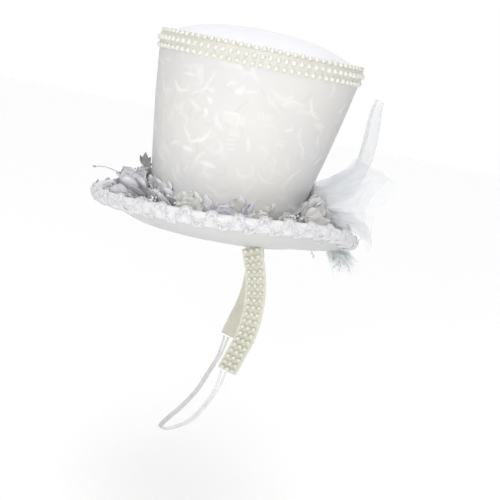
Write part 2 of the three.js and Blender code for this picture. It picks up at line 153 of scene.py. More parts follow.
def on_brim(angle, along, over):
    """Points at a distance along the brim's section from the opening and a height over its underside."""
    angle, along, over = np.broadcast_arrays(np.asarray(angle, float), along, over)
    start, outward, floor, radius, turn, flat = brim_section(angle)
    swept = np.clip((along - flat) / radius, 0, turn)
    past = np.maximum(along - flat - radius * turn, 0)
    reach = np.minimum(along, flat) + radius * np.sin(swept) + past * np.cos(swept)
    out = reach - over * np.sin(swept)
    climbed = np.clip((along / flat - SEAT_SHARE) / (1 - SEAT_SHARE), 0, 1)
    z = floor * climbed**2 * (3 - 2 * climbed)
    z = z + radius * (1 - np.cos(swept)) + past * np.sin(swept) + over * np.cos(swept)
    flat_place = start + outward * out[..., None]
    return np.concatenate([flat_place, z[..., None]], -1)


def brim_length(angle):
    _, _, _, radius, turn, flat = brim_section(angle)
    return flat + radius * turn


def past_edge(angle, past, over):
    """Points placed from the end of the brim's section, where the padded edge is."""
    return on_brim(angle, brim_length(np.asarray(angle, float)) + past, over)


# ---------------------------------------------------------------- mesh helpers
def grid_faces(rows, columns, wrap_rows=False, wrap_columns=False):
    row = np.arange(rows if wrap_rows else rows - 1)[:, None]
    column = np.arange(columns if wrap_columns else columns - 1)[None, :]
    next_row, next_column = (row + 1) % rows, (column + 1) % columns
    quads = [row * columns + column, next_row * columns + column,
             next_row * columns + next_column, row * columns + next_column]
    return np.stack(np.broadcast_arrays(*quads), -1).reshape(-1, 4)


def tube_faces(rows, columns):
    """Faces of a run of closed rings, with both ends capped."""
    last = (rows - 1) * columns
    caps = [list(range(columns))[::-1], list(range(last, last + columns))]
    return grid_faces(rows, columns, False, True).tolist() + caps


def around(steps):
    """Angles at equal steps round the hat, as a column."""
    return np.linspace(0, TAU, steps, endpoint=False)[:, None]


def run_along(line):
    """Length along a line up to each of its points."""
    return np.concatenate([[0], np.cumsum(np.linalg.norm(np.diff(line, axis=0), axis=1))])


class Batch:
    """Vertices and faces of many small solids that make up one piece."""

    def __init__(self):
        self.verts, self.faces, self.count = [], [], 0

    def add(self, verts, faces):
        verts = np.asarray(verts, float).reshape(-1, 3)
        self.verts.append(verts)
        self.faces.extend((np.asarray(f) + self.count).tolist() for f in faces)
        self.count += len(verts)

    def piece(self, name, material, slot, **settings):
        return make_piece(name, np.concatenate(self.verts), self.faces, material, slot, **settings)


def make_piece(name, verts, faces, material, slot, body=RIGID, replaces=(), sharp=50):
    """One named object, in metres, riding on a body; angles over sharp degrees stay crisp."""
    mesh = bpy.data.meshes.new(name)
    faces = faces.tolist() if isinstance(faces, np.ndarray) else faces
    mesh.from_pydata((np.asarray(verts, float).reshape(-1, 3) * MM).tolist(), [], faces)
    mesh.polygons.foreach_set("use_smooth", [True] * len(mesh.polygons))
    mesh.set_sharp_from_angle(angle=math.radians(sharp))
    mesh.materials.append(material)
    piece = bpy.data.objects.new(name, mesh)
    bpy.context.scene.collection.objects.link(piece)
    if body:
        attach(piece, body)
    if replaces:
        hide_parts(*replaces)
    return piece


def thicken(piece, thickness_mm):
    solid = piece.modifiers.new("thickness", "SOLIDIFY")
    solid.thickness = thickness_mm * MM
    solid.offset = 0


def ring_piece(name, profile, place, material, slot, steps=240, **settings):
    """A closed profile carried right round the hat: profile is (n, 2) in the section's own x and y."""
    angle = around(steps)
    profile = np.asarray(profile, float)
    verts = place(angle, profile[None, :, 0], profile[None, :, 1])
    return make_piece(name, verts, grid_faces(steps, len(profile), True, True), material, slot, **settings)


def unit_ball(segments, rings):
    """Verts and faces of a closed ball of radius 1, with its poles on local z."""
    polar = math.pi * np.arange(1, rings)[:, None] / rings
    turn = np.arange(segments) * TAU / segments
    wall = np.broadcast_arrays(np.sin(polar) * np.cos(turn), np.sin(polar) * np.sin(turn), np.cos(polar))
    verts = np.vstack([(0, 0, 1), np.stack(wall, -1).reshape(-1, 3), (0, 0, -1)])
    faces = (grid_faces(rings - 1, segments, False, True) + 1).tolist()
    last = len(verts) - 1
    low = last - segments
    for here, beside in zip(range(segments), [*range(1, segments), 0]):
        faces += [[0, 1 + here, 1 + beside], [low + here, last, low + beside]]
    return verts, faces


def frames_along(points):
    """Tangent and two side directions at each point of a line, turning as little as they can."""
    points = np.asarray(points, float)
    tangent = np.gradient(points, axis=0)
    tangent /= np.linalg.norm(tangent, axis=1)[:, None]
    side = np.zeros_like(points)
    seed = np.eye(3)[np.argmin(np.abs(tangent[0]))]
    for i, t in enumerate(tangent):
        seed = seed - t * seed.dot(t)
        seed = seed / np.linalg.norm(seed)
        side[i] = seed
    return tangent, side, np.cross(tangent, side)


def tube(points, radius, sides=6, closed=False):
    """Verts and faces of a round tube along a line; radius is one value or one for each point."""
    points = np.asarray(points, float)
    _, side, other = frames_along(points)
    turn = np.arange(sides) * TAU / sides
    radius = np.broadcast_to(np.asarray(radius, float), len(points))[:, None, None]
    ring = side[:, None] * np.cos(turn)[None, :, None] + other[:, None] * np.sin(turn)[None, :, None]
    verts = (points[:, None] + radius * ring).reshape(-1, 3)
    return verts, grid_faces(len(points), sides, True, True) if closed else tube_faces(len(points), sides)


def smooth_line(points, count):
    """A Catmull-Rom line through the points, at equal steps of length."""
    points = np.asarray(points, float)
    padded = np.vstack([2 * points[0] - points[1], points, 2 * points[-1] - points[-2]])
    fine = []
    share = np.linspace(0, 1, 24, endpoint=False)[:, None]
    for a, b, c, d in zip(padded, padded[1:], padded[2:], padded[3:]):
        fine.append(0.5 * (2 * b + (c - a) * share + (2 * a - 5 * b + 4 * c - d) * share**2
                           + (3 * b - a - 3 * c + d) * share**3))
    fine = np.vstack([*fine, points[-1:]])
    run = run_along(fine)
    wanted = np.linspace(0, run[-1], count)
    return np.stack([np.interp(wanted, run, fine[:, axis]) for axis in range(3)], -1)


def turned(points, turn):
    """Points turned about local z."""
    cos, sin = math.cos(turn), math.sin(turn)
    x, y = points[..., 0], points[..., 1]
    return np.stack([x * cos - y * sin, x * sin + y * cos, points[..., 2]], -1)


def raised_basis(level, tilt):
    """Axes across, up and out, where out is a level direction raised by a tilt."""
    level = level / np.linalg.norm(level)
    out = level * math.cos(tilt) + np.array([0, 0, math.sin(tilt)])
    across = np.cross([0, 0, 1.0], level)
    return np.stack([across, np.cross(out, across), out])


def wobble(*coordinates, seed=0, octaves=4):
    """A smooth, repeatable unevenness between about -1 and 1 from a few summed sines."""
    draw = random.Random(seed)
    total = 0
    for octave in range(octaves):
        phase = sum(c * draw.uniform(0.6, 1.6) * (1.7**octave) for c in coordinates)
        total = total + np.sin(phase + draw.uniform(0, TAU)) / (1.5**octave)
    return total / 2


# ---------------------------------------------------------------- materials
def set_values(tree, node, values):
    """Sets sockets and settings by name, _ standing for a space; a value may be a socket to link from."""
    for key, value in values.items():
        socket = key.replace("_", " ")
        if socket not in node.inputs:
            setattr(node, key, value)
        elif isinstance(value, bpy.types.NodeSocket):
            tree.links.new(value, node.inputs[socket])
        else:
            node.inputs[socket].default_value = value
    return node


def add_node(tree, kind, **values):
    return set_values(tree, tree.nodes.new("ShaderNode" + kind), values)


def ramp(tree, source, start=0.0, end=1.0, low=0.0, high=1.0):
    """A value carried from one range into another, and held at the ends."""
    ends = {"From_Min": start, "From_Max": end, "To_Min": low, "To_Max": high}
    return add_node(tree, "MapRange", Value=source, **ends).outputs["Result"]


def math_of(tree, operation, *operands):
    node = add_node(tree, "Math", operation=operation)
    for socket, value in zip(node.inputs, operands):
        if isinstance(value, float):
            socket.default_value = value
        else:
            tree.links.new(value, socket)
    return node.outputs[0]


def blend_colors(tree, factor, first, second):
    """A colour mix driven by a factor socket; first and second are colours or colour sockets."""
    mix = add_node(tree, "Mix", data_type="RGBA", Factor=factor)
    for socket, value in ((mix.inputs[6], first), (mix.inputs[7], second)):
        if isinstance(value, tuple):
            socket.default_value = (*value, 1.0)
        else:
            tree.links.new(value, socket)
    return mix.outputs[2]


def object_place(tree):
    return add_node(tree, "TexCoord").outputs["Object"]


def noise_factor(tree, scale, low=0.35, high=0.65):
    """A noise pattern in object space, spread to 0..1 between low and high."""
    noise = add_node(tree, "TexNoise", Vector=object_place(tree), Scale=scale, Detail=3.0)
    return ramp(tree, noise.outputs["Fac"], low, high)


def thread_height(tree, threads_per_metre):
    """Crossing rows of threads, as a height for bump."""
    wave = {"Vector": object_place(tree), "Scale": threads_per_metre / 3, "Distortion": 0.6}
    rows = [add_node(tree, "TexWave", bands_direction=way, **wave) for way in ("Z", "DIAGONAL")]
    return math_of(tree, "ADD", *[row.outputs["Fac"] for row in rows])


def surface(name, tones, **values):
    """A material: tones are a noise scale and two colours, or a rule for the base colour, or None."""
    material = bpy.data.materials.new(name)
    material.use_nodes = True
    tree = material.node_tree
    shader = tree.nodes["Principled BSDF"]
    if isinstance(tones, tuple):
        scale, light, dark = tones
        values["Base_Color"] = blend_colors(tree, noise_factor(tree, scale), light, dark)
    elif tones:
        values["Base_Color"] = tones(tree)
    set_values(tree, shader, values)
    return material, tree, shader


def weave(tree, shader, threads_per_metre, strength, depth_mm):
    """Bumps a cloth with its rows of threads."""
    height = thread_height(tree, threads_per_metre)
    bump = add_node(tree, "Bump", Height=height, Strength=strength, Distance=depth_mm * MM)
    tree.links.new(bump.outputs["Normal"], shader.inputs["Normal"])


def cloth(name, light, dark, roughness, sheen=0.2, threads=900, bump=0.15, patch=28.0):
    """A woven cloth: two close tones in soft patches, uneven roughness and rows of threads."""
    material, tree, shader = surface(name, (patch, light, dark), Sheen_Weight=sheen, Sheen_Roughness=0.4)
    uneven = ramp(tree, noise_factor(tree, patch * 7), low=roughness - 0.06, high=roughness + 0.08)
    tree.links.new(uneven, shader.inputs["Roughness"])
    weave(tree, shader, threads, bump, 0.12)
    return material


def jacquard():
    """Ivory satin with smoother, paler floats, where the mesh's motif is 0 sunk, 0.3 ground, 1 raised."""
    def woven(tree):
        return add_node(tree, "Attribute", attribute_name="motif").outputs["Fac"]

    def tones(tree):
        ground = blend_colors(tree, noise_factor(tree, 14), (0.64, 0.635, 0.615), (0.61, 0.605, 0.60))
        ground = blend_colors(tree, noise_factor(tree, 8, 0.52, 0.80), ground, (0.62, 0.615, 0.645))
        ground = blend_colors(tree, noise_factor(tree, 6, 0.56, 0.80), ground, (0.65, 0.62, 0.57))
        ground = blend_colors(tree, ramp(tree, woven(tree), 0.3, 0.0), ground, (0.545, 0.545, 0.55))
        return blend_colors(tree, ramp(tree, woven(tree), 0.3, 1.0), ground, (0.75, 0.745, 0.73))

    material, tree, shader = surface("ivory_jacquard", tones, Specular_IOR_Level=0.22)
    tree.links.new(ramp(tree, woven(tree), low=0.52, high=0.30), shader.inputs["Roughness"])
    weave(tree, shader, 1100, 0.12, 0.1)
    return material


def pearl_coat(name, light, dark):
    coat = {"Coat_Weight": 1.0, "Coat_Roughness": 0.08, "Sheen_Weight": 0.15}
    return surface(name, (160, light, dark), Roughness=0.16, **coat)[0]


def net_cloth(name, light, dark, open_alpha, thread_alpha, cells_per_metre):
    """Sheer net: threads more solid than the holes between them, and denser where it is gathered."""
    material, tree, shader = surface(name, (22, light, dark), Roughness=0.7, Sheen_Weight=0.3)
    alpha = ramp(tree, thread_height(tree, cells_per_metre), 0.0, 2.0, open_alpha, thread_alpha)
    gathered = add_node(tree, "Attribute", attribute_name="gathered").outputs["Fac"]
    tree.links.new(math_of(tree, "MULTIPLY_ADD", gathered, 0.22, alpha), shader.inputs["Alpha"])
    return material


JACQUARD = jacquard()
TIP_SATIN = cloth("tip_satin", (0.78, 0.78, 0.815), (0.75, 0.75, 0.785), 0.36, sheen=0.1, patch=10)
EDGE_SATIN = cloth("edge_satin", (0.70, 0.70, 0.71), (0.655, 0.655, 0.67), 0.32, sheen=0.15, patch=30)
# The brim's satin is darker than the other satins: painted shade standing in for the shade under the brim,
# used on both of its faces.
BRIM_SATIN_PAINTED_SHADE = cloth("brim_satin", (0.545, 0.545, 0.54), (0.51, 0.51, 0.51), 0.42, sheen=0.1, patch=9)
LACE_THREAD = cloth("lace_thread", (0.69, 0.69, 0.70), (0.60, 0.60, 0.62),
                    0.75, sheen=0.25, threads=2600, patch=240)
LINING = cloth("lining_satin", (0.76, 0.75, 0.72), (0.71, 0.70, 0.67), 0.45, patch=12)
BUCKRAM = cloth("buckram", (0.66, 0.63, 0.54), (0.58, 0.55, 0.47), 0.9, sheen=0, threads=420, bump=0.6)
RIBBON = cloth("ivory_ribbon", (0.60, 0.595, 0.50), (0.565, 0.56, 0.47),
               0.42, threads=700, bump=0.3, patch=40)
ELASTIC = cloth("white_elastic", (0.68, 0.67, 0.67), (0.62, 0.61, 0.61),
                0.65, threads=1200, bump=0.35, patch=80)
PEARL_TAPE = cloth("pearl_tape", (0.63, 0.62, 0.565), (0.58, 0.57, 0.515),
                   0.45, threads=700, bump=0.3, patch=40)
PEARL = pearl_coat("ivory_pearl", (0.70, 0.695, 0.635), (0.65, 0.64, 0.58))
STRAP_PEARL = pearl_coat("strap_pearl", (0.60, 0.595, 0.52), (0.55, 0.545, 0.47))
SEED_PEARL = pearl_coat("seed_pearl", (0.78, 0.78, 0.775), (0.71, 0.71, 0.70))
STONE = surface("cut_stone", (500, (0.93, 0.95, 1.0), (0.55, 0.57, 0.62)),
                Metallic=0.75, Roughness=0.06, Coat_Weight=0.8)[0]
SILVER = surface("silver_wire", (90, (0.78, 0.78, 0.80), (0.62, 0.62, 0.65)),
                 Metallic=0.9, Roughness=0.3)[0]
TULLE = net_cloth("tulle_net", (0.70, 0.72, 0.75), (0.64, 0.66, 0.69), 0.15, 0.31, 900)
TULLE_KNOT = cloth("tulle_bundle", (0.76, 0.78, 0.80), (0.68, 0.70, 0.73), 0.7,
                   sheen=0.3, threads=900, bump=0.5)
DOWN = cloth("marabou_down", (0.80, 0.83, 0.84), (0.70, 0.73, 0.74), 0.9, sheen=0.3, patch=60)
TWIG = cloth("dried_sprig", (0.40, 0.42, 0.41), (0.30, 0.32, 0.315), 0.7, sheen=0.1, patch=60)
LEAF_GREY = cloth("leaf_grey", (0.575, 0.57, 0.565), (0.51, 0.505, 0.50), 0.45, sheen=0.3, patch=50)
ORGANZA_TONES = {  # roughness, then the light and the dark tone
    "grey": (0.36, (0.64, 0.64, 0.665), (0.565, 0.565, 0.595)),
    "lavender": (0.40, (0.64, 0.635, 0.695), (0.60, 0.595, 0.65)),
    "cream": (0.40, (0.70, 0.70, 0.67), (0.65, 0.65, 0.62)),
    "peach": (0.40, (0.70, 0.675, 0.655), (0.65, 0.62, 0.60)),
}
ORGANZA = {colour: cloth(f"organza_{colour}", light, dark, rough, sheen=0.3, patch=45)
           for colour, (rough, light, dark) in ORGANZA_TONES.items()}


# ---------------------------------------------------------------- camera
# The view of a wearer from their left, with the hat tipped back on the head.
CAMERA_PLACE = Vector((1018, -2.2, CROWN_HEIGHT)) * MM
CAMERA_TARGET = Vector((0, 36.7, -13.8)) * MM
HAT_TILT = math.radians(11.34)
LENS_MM = 72.5


def make_camera():
    camera = bpy.data.objects.new("camera", bpy.data.cameras.new("camera"))
    bpy.context.scene.collection.objects.link(camera)
    camera.data.lens = LENS_MM
    camera.data.sensor_width = 36
    camera.data.clip_start, camera.data.clip_end = 0.05, 20
    forward = (CAMERA_TARGET - CAMERA_PLACE).normalized()
    right = forward.cross(Vector((0, -math.sin(HAT_TILT), math.cos(HAT_TILT)))).normalized()
    up = right.cross(forward)
    basis = Matrix((right, up, -forward)).transposed().to_4x4()
    camera.matrix_world = Matrix.Translation(CAMERA_PLACE) @ basis
    bpy.context.scene.camera = camera


make_camera()


# ---------------------------------------------------------------- chin strap
def mirrored(points, side):
    return np.asarray(points, float) * np.array([side, 1, 1])


def strap_frame(side, shares):
    """Points, across directions and outward directions along one ribbon, at shares of its length."""
    line = smooth_line(mirrored(STRAP_LINE, side), 400)
    line = np.vstack([line[0] + [0, -0.35, 0.7], line])  # up to the stitching under the brim
    tangent, _, _ = frames_along(line)
    across = np.cross([1.0, 0, 0], tangent)
    across /= np.linalg.norm(across, axis=1)[:, None]
    outward = np.cross(across, tangent)
    outward *= np.sign(outward[:, :1] * side)
    at = np.asarray(shares) * (len(line) - 1)
    index = np.arange(len(line))
    return [np.stack([np.interp(at, index, column) for column in rows.T], -1)
            for rows in (line, across, outward)]


STRAP_WIDTH, STRAP_THICKNESS = 20.0, 0.8
STRAP_CUP, STRAP_RIPPLE, STRAP_RIPPLE_RATE = 0.2, 0.10, 260
STRAP_PEARL_ROWS, STRAP_PEARL_PITCH, STRAP_PEARL_RADIUS = 19, 5.6, 2.45
STRAP_PEARL_STAND = 1.5
STRAP_PEARL_SHIFT = 0.8  # the columns sit a little nearer the front edge
ELASTIC_HALF_WIDTH, ELASTIC_HALF_DEPTH = 1.22, 0.5
STRAND_SPREAD, STRAND_FLARE, STRAND_FLARE_LENGTH = 1.25, 1.1, 32


def follow_hinge(piece):
    """Bakes a ribbon's placing into its mesh."""
    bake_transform(piece)


def make_ribbon(side, name):
    rows = 150
    shares = np.linspace(0, 1, rows)
    points, across, outward = strap_frame(side, shares)
    edge = np.linspace(-1, 1, 13)
    face = np.stack([edge * STRAP_WIDTH / 2, STRAP_THICKNESS / 2 * (1 - 0.5 * np.abs(edge) ** 8)], -1)
    section = np.concatenate([face, face[::-1] * [1, -1]])
    cup = -STRAP_CUP * (section[:, 0] / 10) ** 2
    off_edge = np.abs(section[:, 0]) < 9.4
    ripple = STRAP_RIPPLE * np.sin(shares * STRAP_RIPPLE_RATE)[:, None] * off_edge
    depth = section[None, :, 1] + cup[None] + ripple * np.sign(section[:, 1])[None]
    verts = points[:, None] + across[:, None] * section[None, :, :1] + outward[:, None] * depth[..., None]
    start, end = list(range(len(section))), list(range(rows * len(section)))[:-len(section) - 1:-1]
    faces = grid_faces(rows, len(section), False, True).tolist() + [start, end]
    piece = make_piece(f"ribbon_{name}", verts, faces, RIBBON, "ribbon", body=None)
    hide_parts(f"strap_ribbon_{name}", f"strap_tab_{name}")
    follow_hinge(piece)


def make_strap_pearls(side, name):
    ball, ball_faces = unit_ball(14, 9)
    for column in (-1, 0, 1):
        batch = Batch()
        shares = (np.arange(STRAP_PEARL_ROWS) + 0.45) / STRAP_PEARL_ROWS
        points, across, outward = strap_frame(side, shares)
        for point, sideways, out in zip(points, across, outward):
            offset = column * STRAP_PEARL_PITCH - STRAP_PEARL_SHIFT
            middle = point + sideways * side * offset + out * (STRAP_THICKNESS / 2 + STRAP_PEARL_STAND)
            along = np.cross(sideways, out)
            basis = np.stack([sideways, along, out])
            squashed = ball * np.array([1, 1, 0.86]) * STRAP_PEARL_RADIUS
            batch.add(middle + squashed @ basis, ball_faces)
        piece = batch.piece(f"strap_beads_{name}_{column + 2}", STRAP_PEARL, "pearl", body=None)
        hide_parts(f"strap_pearls_{name}_{column + 2}")
        follow_hinge(piece)


def make_elastic():
    """Thin flat elastic, doubled: two strands that leave the ribbon apart and run on side by side."""
    count = 160
    line = smooth_line([*ELASTIC_HALF, CHIN, *[(-x, y, z) for x, y, z in reversed(ELASTIC_HALF)]], count)
    tangent, _, _ = frames_along(line)
    forward = np.array([0, -1, 0.45])
    across = forward - tangent * (tangent @ forward)[:, None]
    across /= np.linalg.norm(across, axis=1)[:, None]
    standing = np.cross(tangent, across)
    length = run_along(line)[-1]
    from_end = np.minimum(np.arange(count), np.arange(count)[::-1]) * length / (count - 1)
    spread = STRAND_SPREAD + STRAND_FLARE * np.clip(1 - from_end / STRAND_FLARE_LENGTH, 0, 1) ** 1.5
    batch = Batch()
    turn = np.arange(10) * TAU / 10
    for strand in (-1, 1):
        middle = line + across * (strand * spread)[:, None]
        ring = across[:, None] * (ELASTIC_HALF_WIDTH * np.cos(turn))[None, :, None]
        ring = ring + standing[:, None] * (ELASTIC_HALF_DEPTH * np.sin(turn))[None, :, None]
        batch.add(middle[:, None] + ring, tube_faces(count, 10))
    piece = batch.piece("elastic_band", ELASTIC, "elastic", body=SWINGING, replaces=["chin_elastic"])


make_elastic()
for side, name in ((1, "left"), (-1, "right")):
    make_ribbon(side, name)
    make_strap_pearls(side, name)


# ---------------------------------------------------------------- crown
STROKES = (  # the jacquard's twigs: (distance round, height) along each, and its half-width, all in mm
    (((-110, 163), (-101, 157), (-92, 155)), 0.9),
    (((-93, 141), (-88, 131), (-80, 131)), 0.9),
    (((-72, 142), (-65, 135), (-55, 137)), 1.7),
    (((-61, 151), (-49, 152)), 1.0),
    (((-50, 135), (-44, 138), (-39, 142), (-36, 150), (-32, 159)), 0.9),
    (((-39, 142), (-30, 141)), 0.7),
    (((-51, 128), (-40, 120)), 1.3),
    (((-58, 125), (-61, 116), (-63, 112)), 0.9),
    (((-35, 134), (-31, 130)), 1.2),
    (((-36, 123), (-33, 118)), 1.3),
    (((-13, 144), (-8, 147)), 2.6),
    (((-6, 146), (3, 148)), 0.8),
    (((-22, 148), (-18, 152), (-14, 152)), 0.7),
    (((-20, 124), (-11, 124), (-7, 123), (-7, 113)), 1.0),
    (((5, 104), (9, 92)), 1.3),
    (((-55, 104), (-49, 95), (-44, 87)), 1.5),
    (((-44, 90), (-33, 95), (-28, 104)), 1.9),
    (((-53, 83), (-41, 82)), 2.2),
    (((-69, 83), (-62, 86), (-56, 86)), 1.2),
    (((-38, 72), (-34, 79), (-29, 83)), 1.0),
    (((-31, 73), (-18, 71)), 2.3),
    (((-85, 112), (-84, 96), (-80, 84)), 0.7),
    (((-92, 74), (-84, 66), (-76, 66)), 1.0),
    (((-64, 60), (-58, 50), (-49, 47)), 1.1),
    (((-22, 52), (-10, 46), (2, 47)), 0.9),
    (((30, 103), (40, 104)), 0.7),
    (((35, 118), (41, 120)), 1.0),
    (((52, 109), (60, 101), (62, 92)), 0.7),
    (((71, 117), (75, 111), (78, 106)), 0.8),
    (((24, 140), (33, 146), (44, 143)), 0.9),
    (((48, 150), (54, 138), (64, 133)), 0.9),
    (((66, 82), (58, 74), (52, 62)), 0.8),
    (((22, 74), (31, 66), (42, 66)), 0.8),
)
FANS = (  # place, number of ticks, height
    ((-10, 119), 9, 9.0), ((-7, 107), 5, 6.5), ((14, 127), 6, 7.0), ((118, 98), 8, 8.0),
)
DASHES = ((-11, 104), (-12, 99.5), (-12, 95), (-10, 90.5), (112, 82), (111, 77))


class Motif:
    """One repeat of the jacquard's twigs, leaves and stitched fans, drawn into a small field."""

    WIDTH, HEIGHT, CELL = 257.0, 186.0, 0.5

    def __init__(self, seed=11):
        self.draw = random.Random(seed)
        self.field = np.zeros((int(self.HEIGHT / self.CELL), int(self.WIDTH / self.CELL)))
        for points, half in STROKES:
            self.twig(points, half, self.draw.uniform(0.55, 0.95))
        for _ in range(16):  # the part of the cloth away from the main spray
            self.loose_twig(86, 142, self.draw.uniform(0.7, 1.9), self.draw.uniform(0.6, 1.0))
        for _ in range(120):  # fainter floats behind all of it
            self.loose_twig(-112, 145, self.draw.uniform(0.5, 3.2), self.draw.uniform(0.18, 0.45))
        for place, ticks, height in FANS:
            for k in range(ticks):
                step = (k - (ticks - 1) / 2) * 2.1
                foot = np.array(place) + [step, -height / 2 + 0.5 * math.sin(k * 1.3)]
                top = foot + [self.draw.uniform(-0.5, 0.9), height * self.draw.uniform(0.75, 1.1)]
                self.stroke([foot, top], [0.3, 0.3], 0.6)
        for place in DASHES:
            self.stroke([place, np.array(place) + [6.0, 0.8]], [0.45, 0.45], 0.7)
        outlines = np.zeros_like(self.field)
        raised, self.field = self.field, outlines
        for _ in range(60):  # fine sunk outlines of leaves
            self.loose_twig(-112, 145, 0.25, 1.0, leaves=False)
        self.field = np.clip(0.3 + 0.7 * raised - 0.3 * outlines * (raised < 0.3), 0, 1)
        for _ in range(2):  # the floats fade into the ground at their ends
            near = [np.roll(self.field, step, axis) for step in (-1, 1) for axis in (0, 1)]
            self.field = 0.4 * self.field + 0.15 * sum(near)

    def loose_twig(self, low, high, half, strength, leaves=True):
        start = np.array([self.draw.uniform(low, high), self.draw.uniform(6, 176)])
        heading = self.draw.uniform(0, TAU)
        bend = heading + self.draw.uniform(-1.2, 1.2)
        middle = start + self.draw.uniform(5, 10) * np.array([math.cos(heading), math.sin(heading)])
        end = middle + self.draw.uniform(4, 10) * np.array([math.cos(bend), math.sin(bend)])
        if leaves:
            self.twig((start, middle, end), half, strength)
        else:
            line = smooth_line([(*start, 0), (*middle, 0), (*end, 0)], 16)[:, :2]
            self.stroke(line, [half] * 15, strength)

    def stroke(self, points, widths, strength=1.0):
        """Raises the field along a line; widths are its half-widths at each point."""
        points = np.asarray(points, float)
        for a, b, half in zip(points, points[1:], widths):
            reach = half + 1
            low = np.floor((np.minimum(a, b) - reach) / self.CELL).astype(int)
            high = np.ceil((np.maximum(a, b) + reach) / self.CELL).astype(int)
            xs, ys = np.meshgrid(np.arange(low[0], high[0] + 1), np.arange(low[1], high[1] + 1))
            spot = np.stack([xs, ys], -1) * self.CELL
            share = np.clip(((spot - a) @ (b - a)) / max((b - a) @ (b - a), 1e-9), 0, 1)
            gap = np.linalg.norm(spot - a - share[..., None] * (b - a), axis=-1)
            value = strength * np.clip((half - gap) / 1.5 + 0.5, 0, 1)
            at = (ys % self.field.shape[0], xs % self.field.shape[1])
            np.maximum.at(self.field, at, value)

    def twig(self, points, half, strength=1.0):
        """A brush-like stroke that swells in the middle, with a small leaf or two along it."""
        points = np.asarray(points, float)
        line = smooth_line(np.column_stack([points, np.zeros(len(points))]), 24)[:, :2]
        share = np.linspace(0, 1, 24)
        swell = half * (0.45 + 0.55 * np.sin(math.pi * np.clip(share + 0.1, 0, 1)) ** 2)
        self.stroke(line, swell + 0.15 * np.sin(share * 19), strength)
        for at in (self.draw.choice((5, 9, 12)), self.draw.choice((14, 17, 20))):
            heading = math.atan2(*(line[at + 1] - line[at])[::-1]) + self.draw.choice((-1, 1)) * 0.9
            tip = line[at] + self.draw.uniform(2, 4.5) * np.array([math.cos(heading), math.sin(heading)])
            self.stroke([line[at], tip], [half * 0.4], strength * 0.8)

    def sample(self, around, up):
        """Value at distances round and up the crown."""
        y = (up % self.HEIGHT) / self.CELL
        x = (around % self.WIDTH) / self.CELL
        rows, columns = self.field.shape
        x0, y0 = np.floor(x).astype(int) % columns, np.floor(y).astype(int) % rows
        fx, fy = x - np.floor(x), y - np.floor(y)
        x1, y1 = (x0 + 1) % columns, (y0 + 1) % rows
        low = self.field[y0, x0] * (1 - fx) + self.field[y0, x1] * fx
        high = self.field[y1, x0] * (1 - fx) + self.field[y1, x1] * fx
        return low * (1 - fy) + high * fy


CROWN_REPEATS = 2


def make_crown_cover():
    """The jacquard side: its motif stands a little proud and the cloth is drawn unevenly over the form."""
    steps, levels = 880, 240
    angle = around(steps)
    heights = np.linspace(CROWN_BOTTOM, 182.9, levels)
    motif = Motif().sample(angle / TAU * CROWN_REPEATS * Motif.WIDTH, heights[None, :])
    pull = 0.22 * wobble(4 * np.cos(angle), 4 * np.sin(angle), heights[None, :] / 40, seed=3)
    turned_in = 1.2 * np.clip((heights - 178) / 5, 0, 1) ** 2
    outer = on_crown(angle, 0.18 * motif + pull - 0.1 - turned_in, heights[None, :])
    inner = on_crown(angle, -0.7 + 0 * heights[None, ::12] - turned_in[::12], heights[None, ::12])[:, ::-1]
    verts = np.concatenate([outer, inner], 1)
    columns = verts.shape[1]
    faces = grid_faces(steps, columns, True, True)
    piece = make_piece("crown_jacquard", verts, faces, JACQUARD, "jacquard", replaces=["crown_side_cover"])
    values = np.zeros((steps, columns), np.float32)
    values[:, :levels] = motif
    piece.data.attributes.new("motif", "FLOAT", "POINT").data.foreach_set("value", values.ravel())


def layer_profile(levels, outer, inner):
    return [(outer, z) for z in levels] + [(inner, z) for z in levels[::-1]]


def make_crown_layers():
    levels = np.linspace(CROWN_BOTTOM, 181, 40)
    ring_piece("crown_buckram", layer_profile(levels, -1.0, -2.6), on_crown, BUCKRAM, "buckram",
               replaces=["crown_side_form"])

    def lining_place(angle, outside, z):
        gather = 0.35 * np.abs(np.sin(angle * 60)) * np.clip(1 - z / 120, 0.15, 1) * (outside < -3.3)
        return on_crown(angle, outside - gather, z)

    levels = np.linspace(CROWN_BOTTOM, 180.2, 40)
    ring_piece("side_lining", layer_profile(levels, -2.9, -3.5), lining_place, LINING, "lining", steps=960,
               replaces=["crown_side_lining"])

    def band_place(angle, outside, z):
        return on_crown(angle, outside + 0.12 * np.sin(z * 5.5) * (outside < -4.6), z)

    levels = np.linspace(0.3, 27, 60)
    ring_piece("ribbon_sweatband", layer_profile(levels, -4.1, -5.1), band_place, RIBBON, "ribbon",
               replaces=["sweatband"])


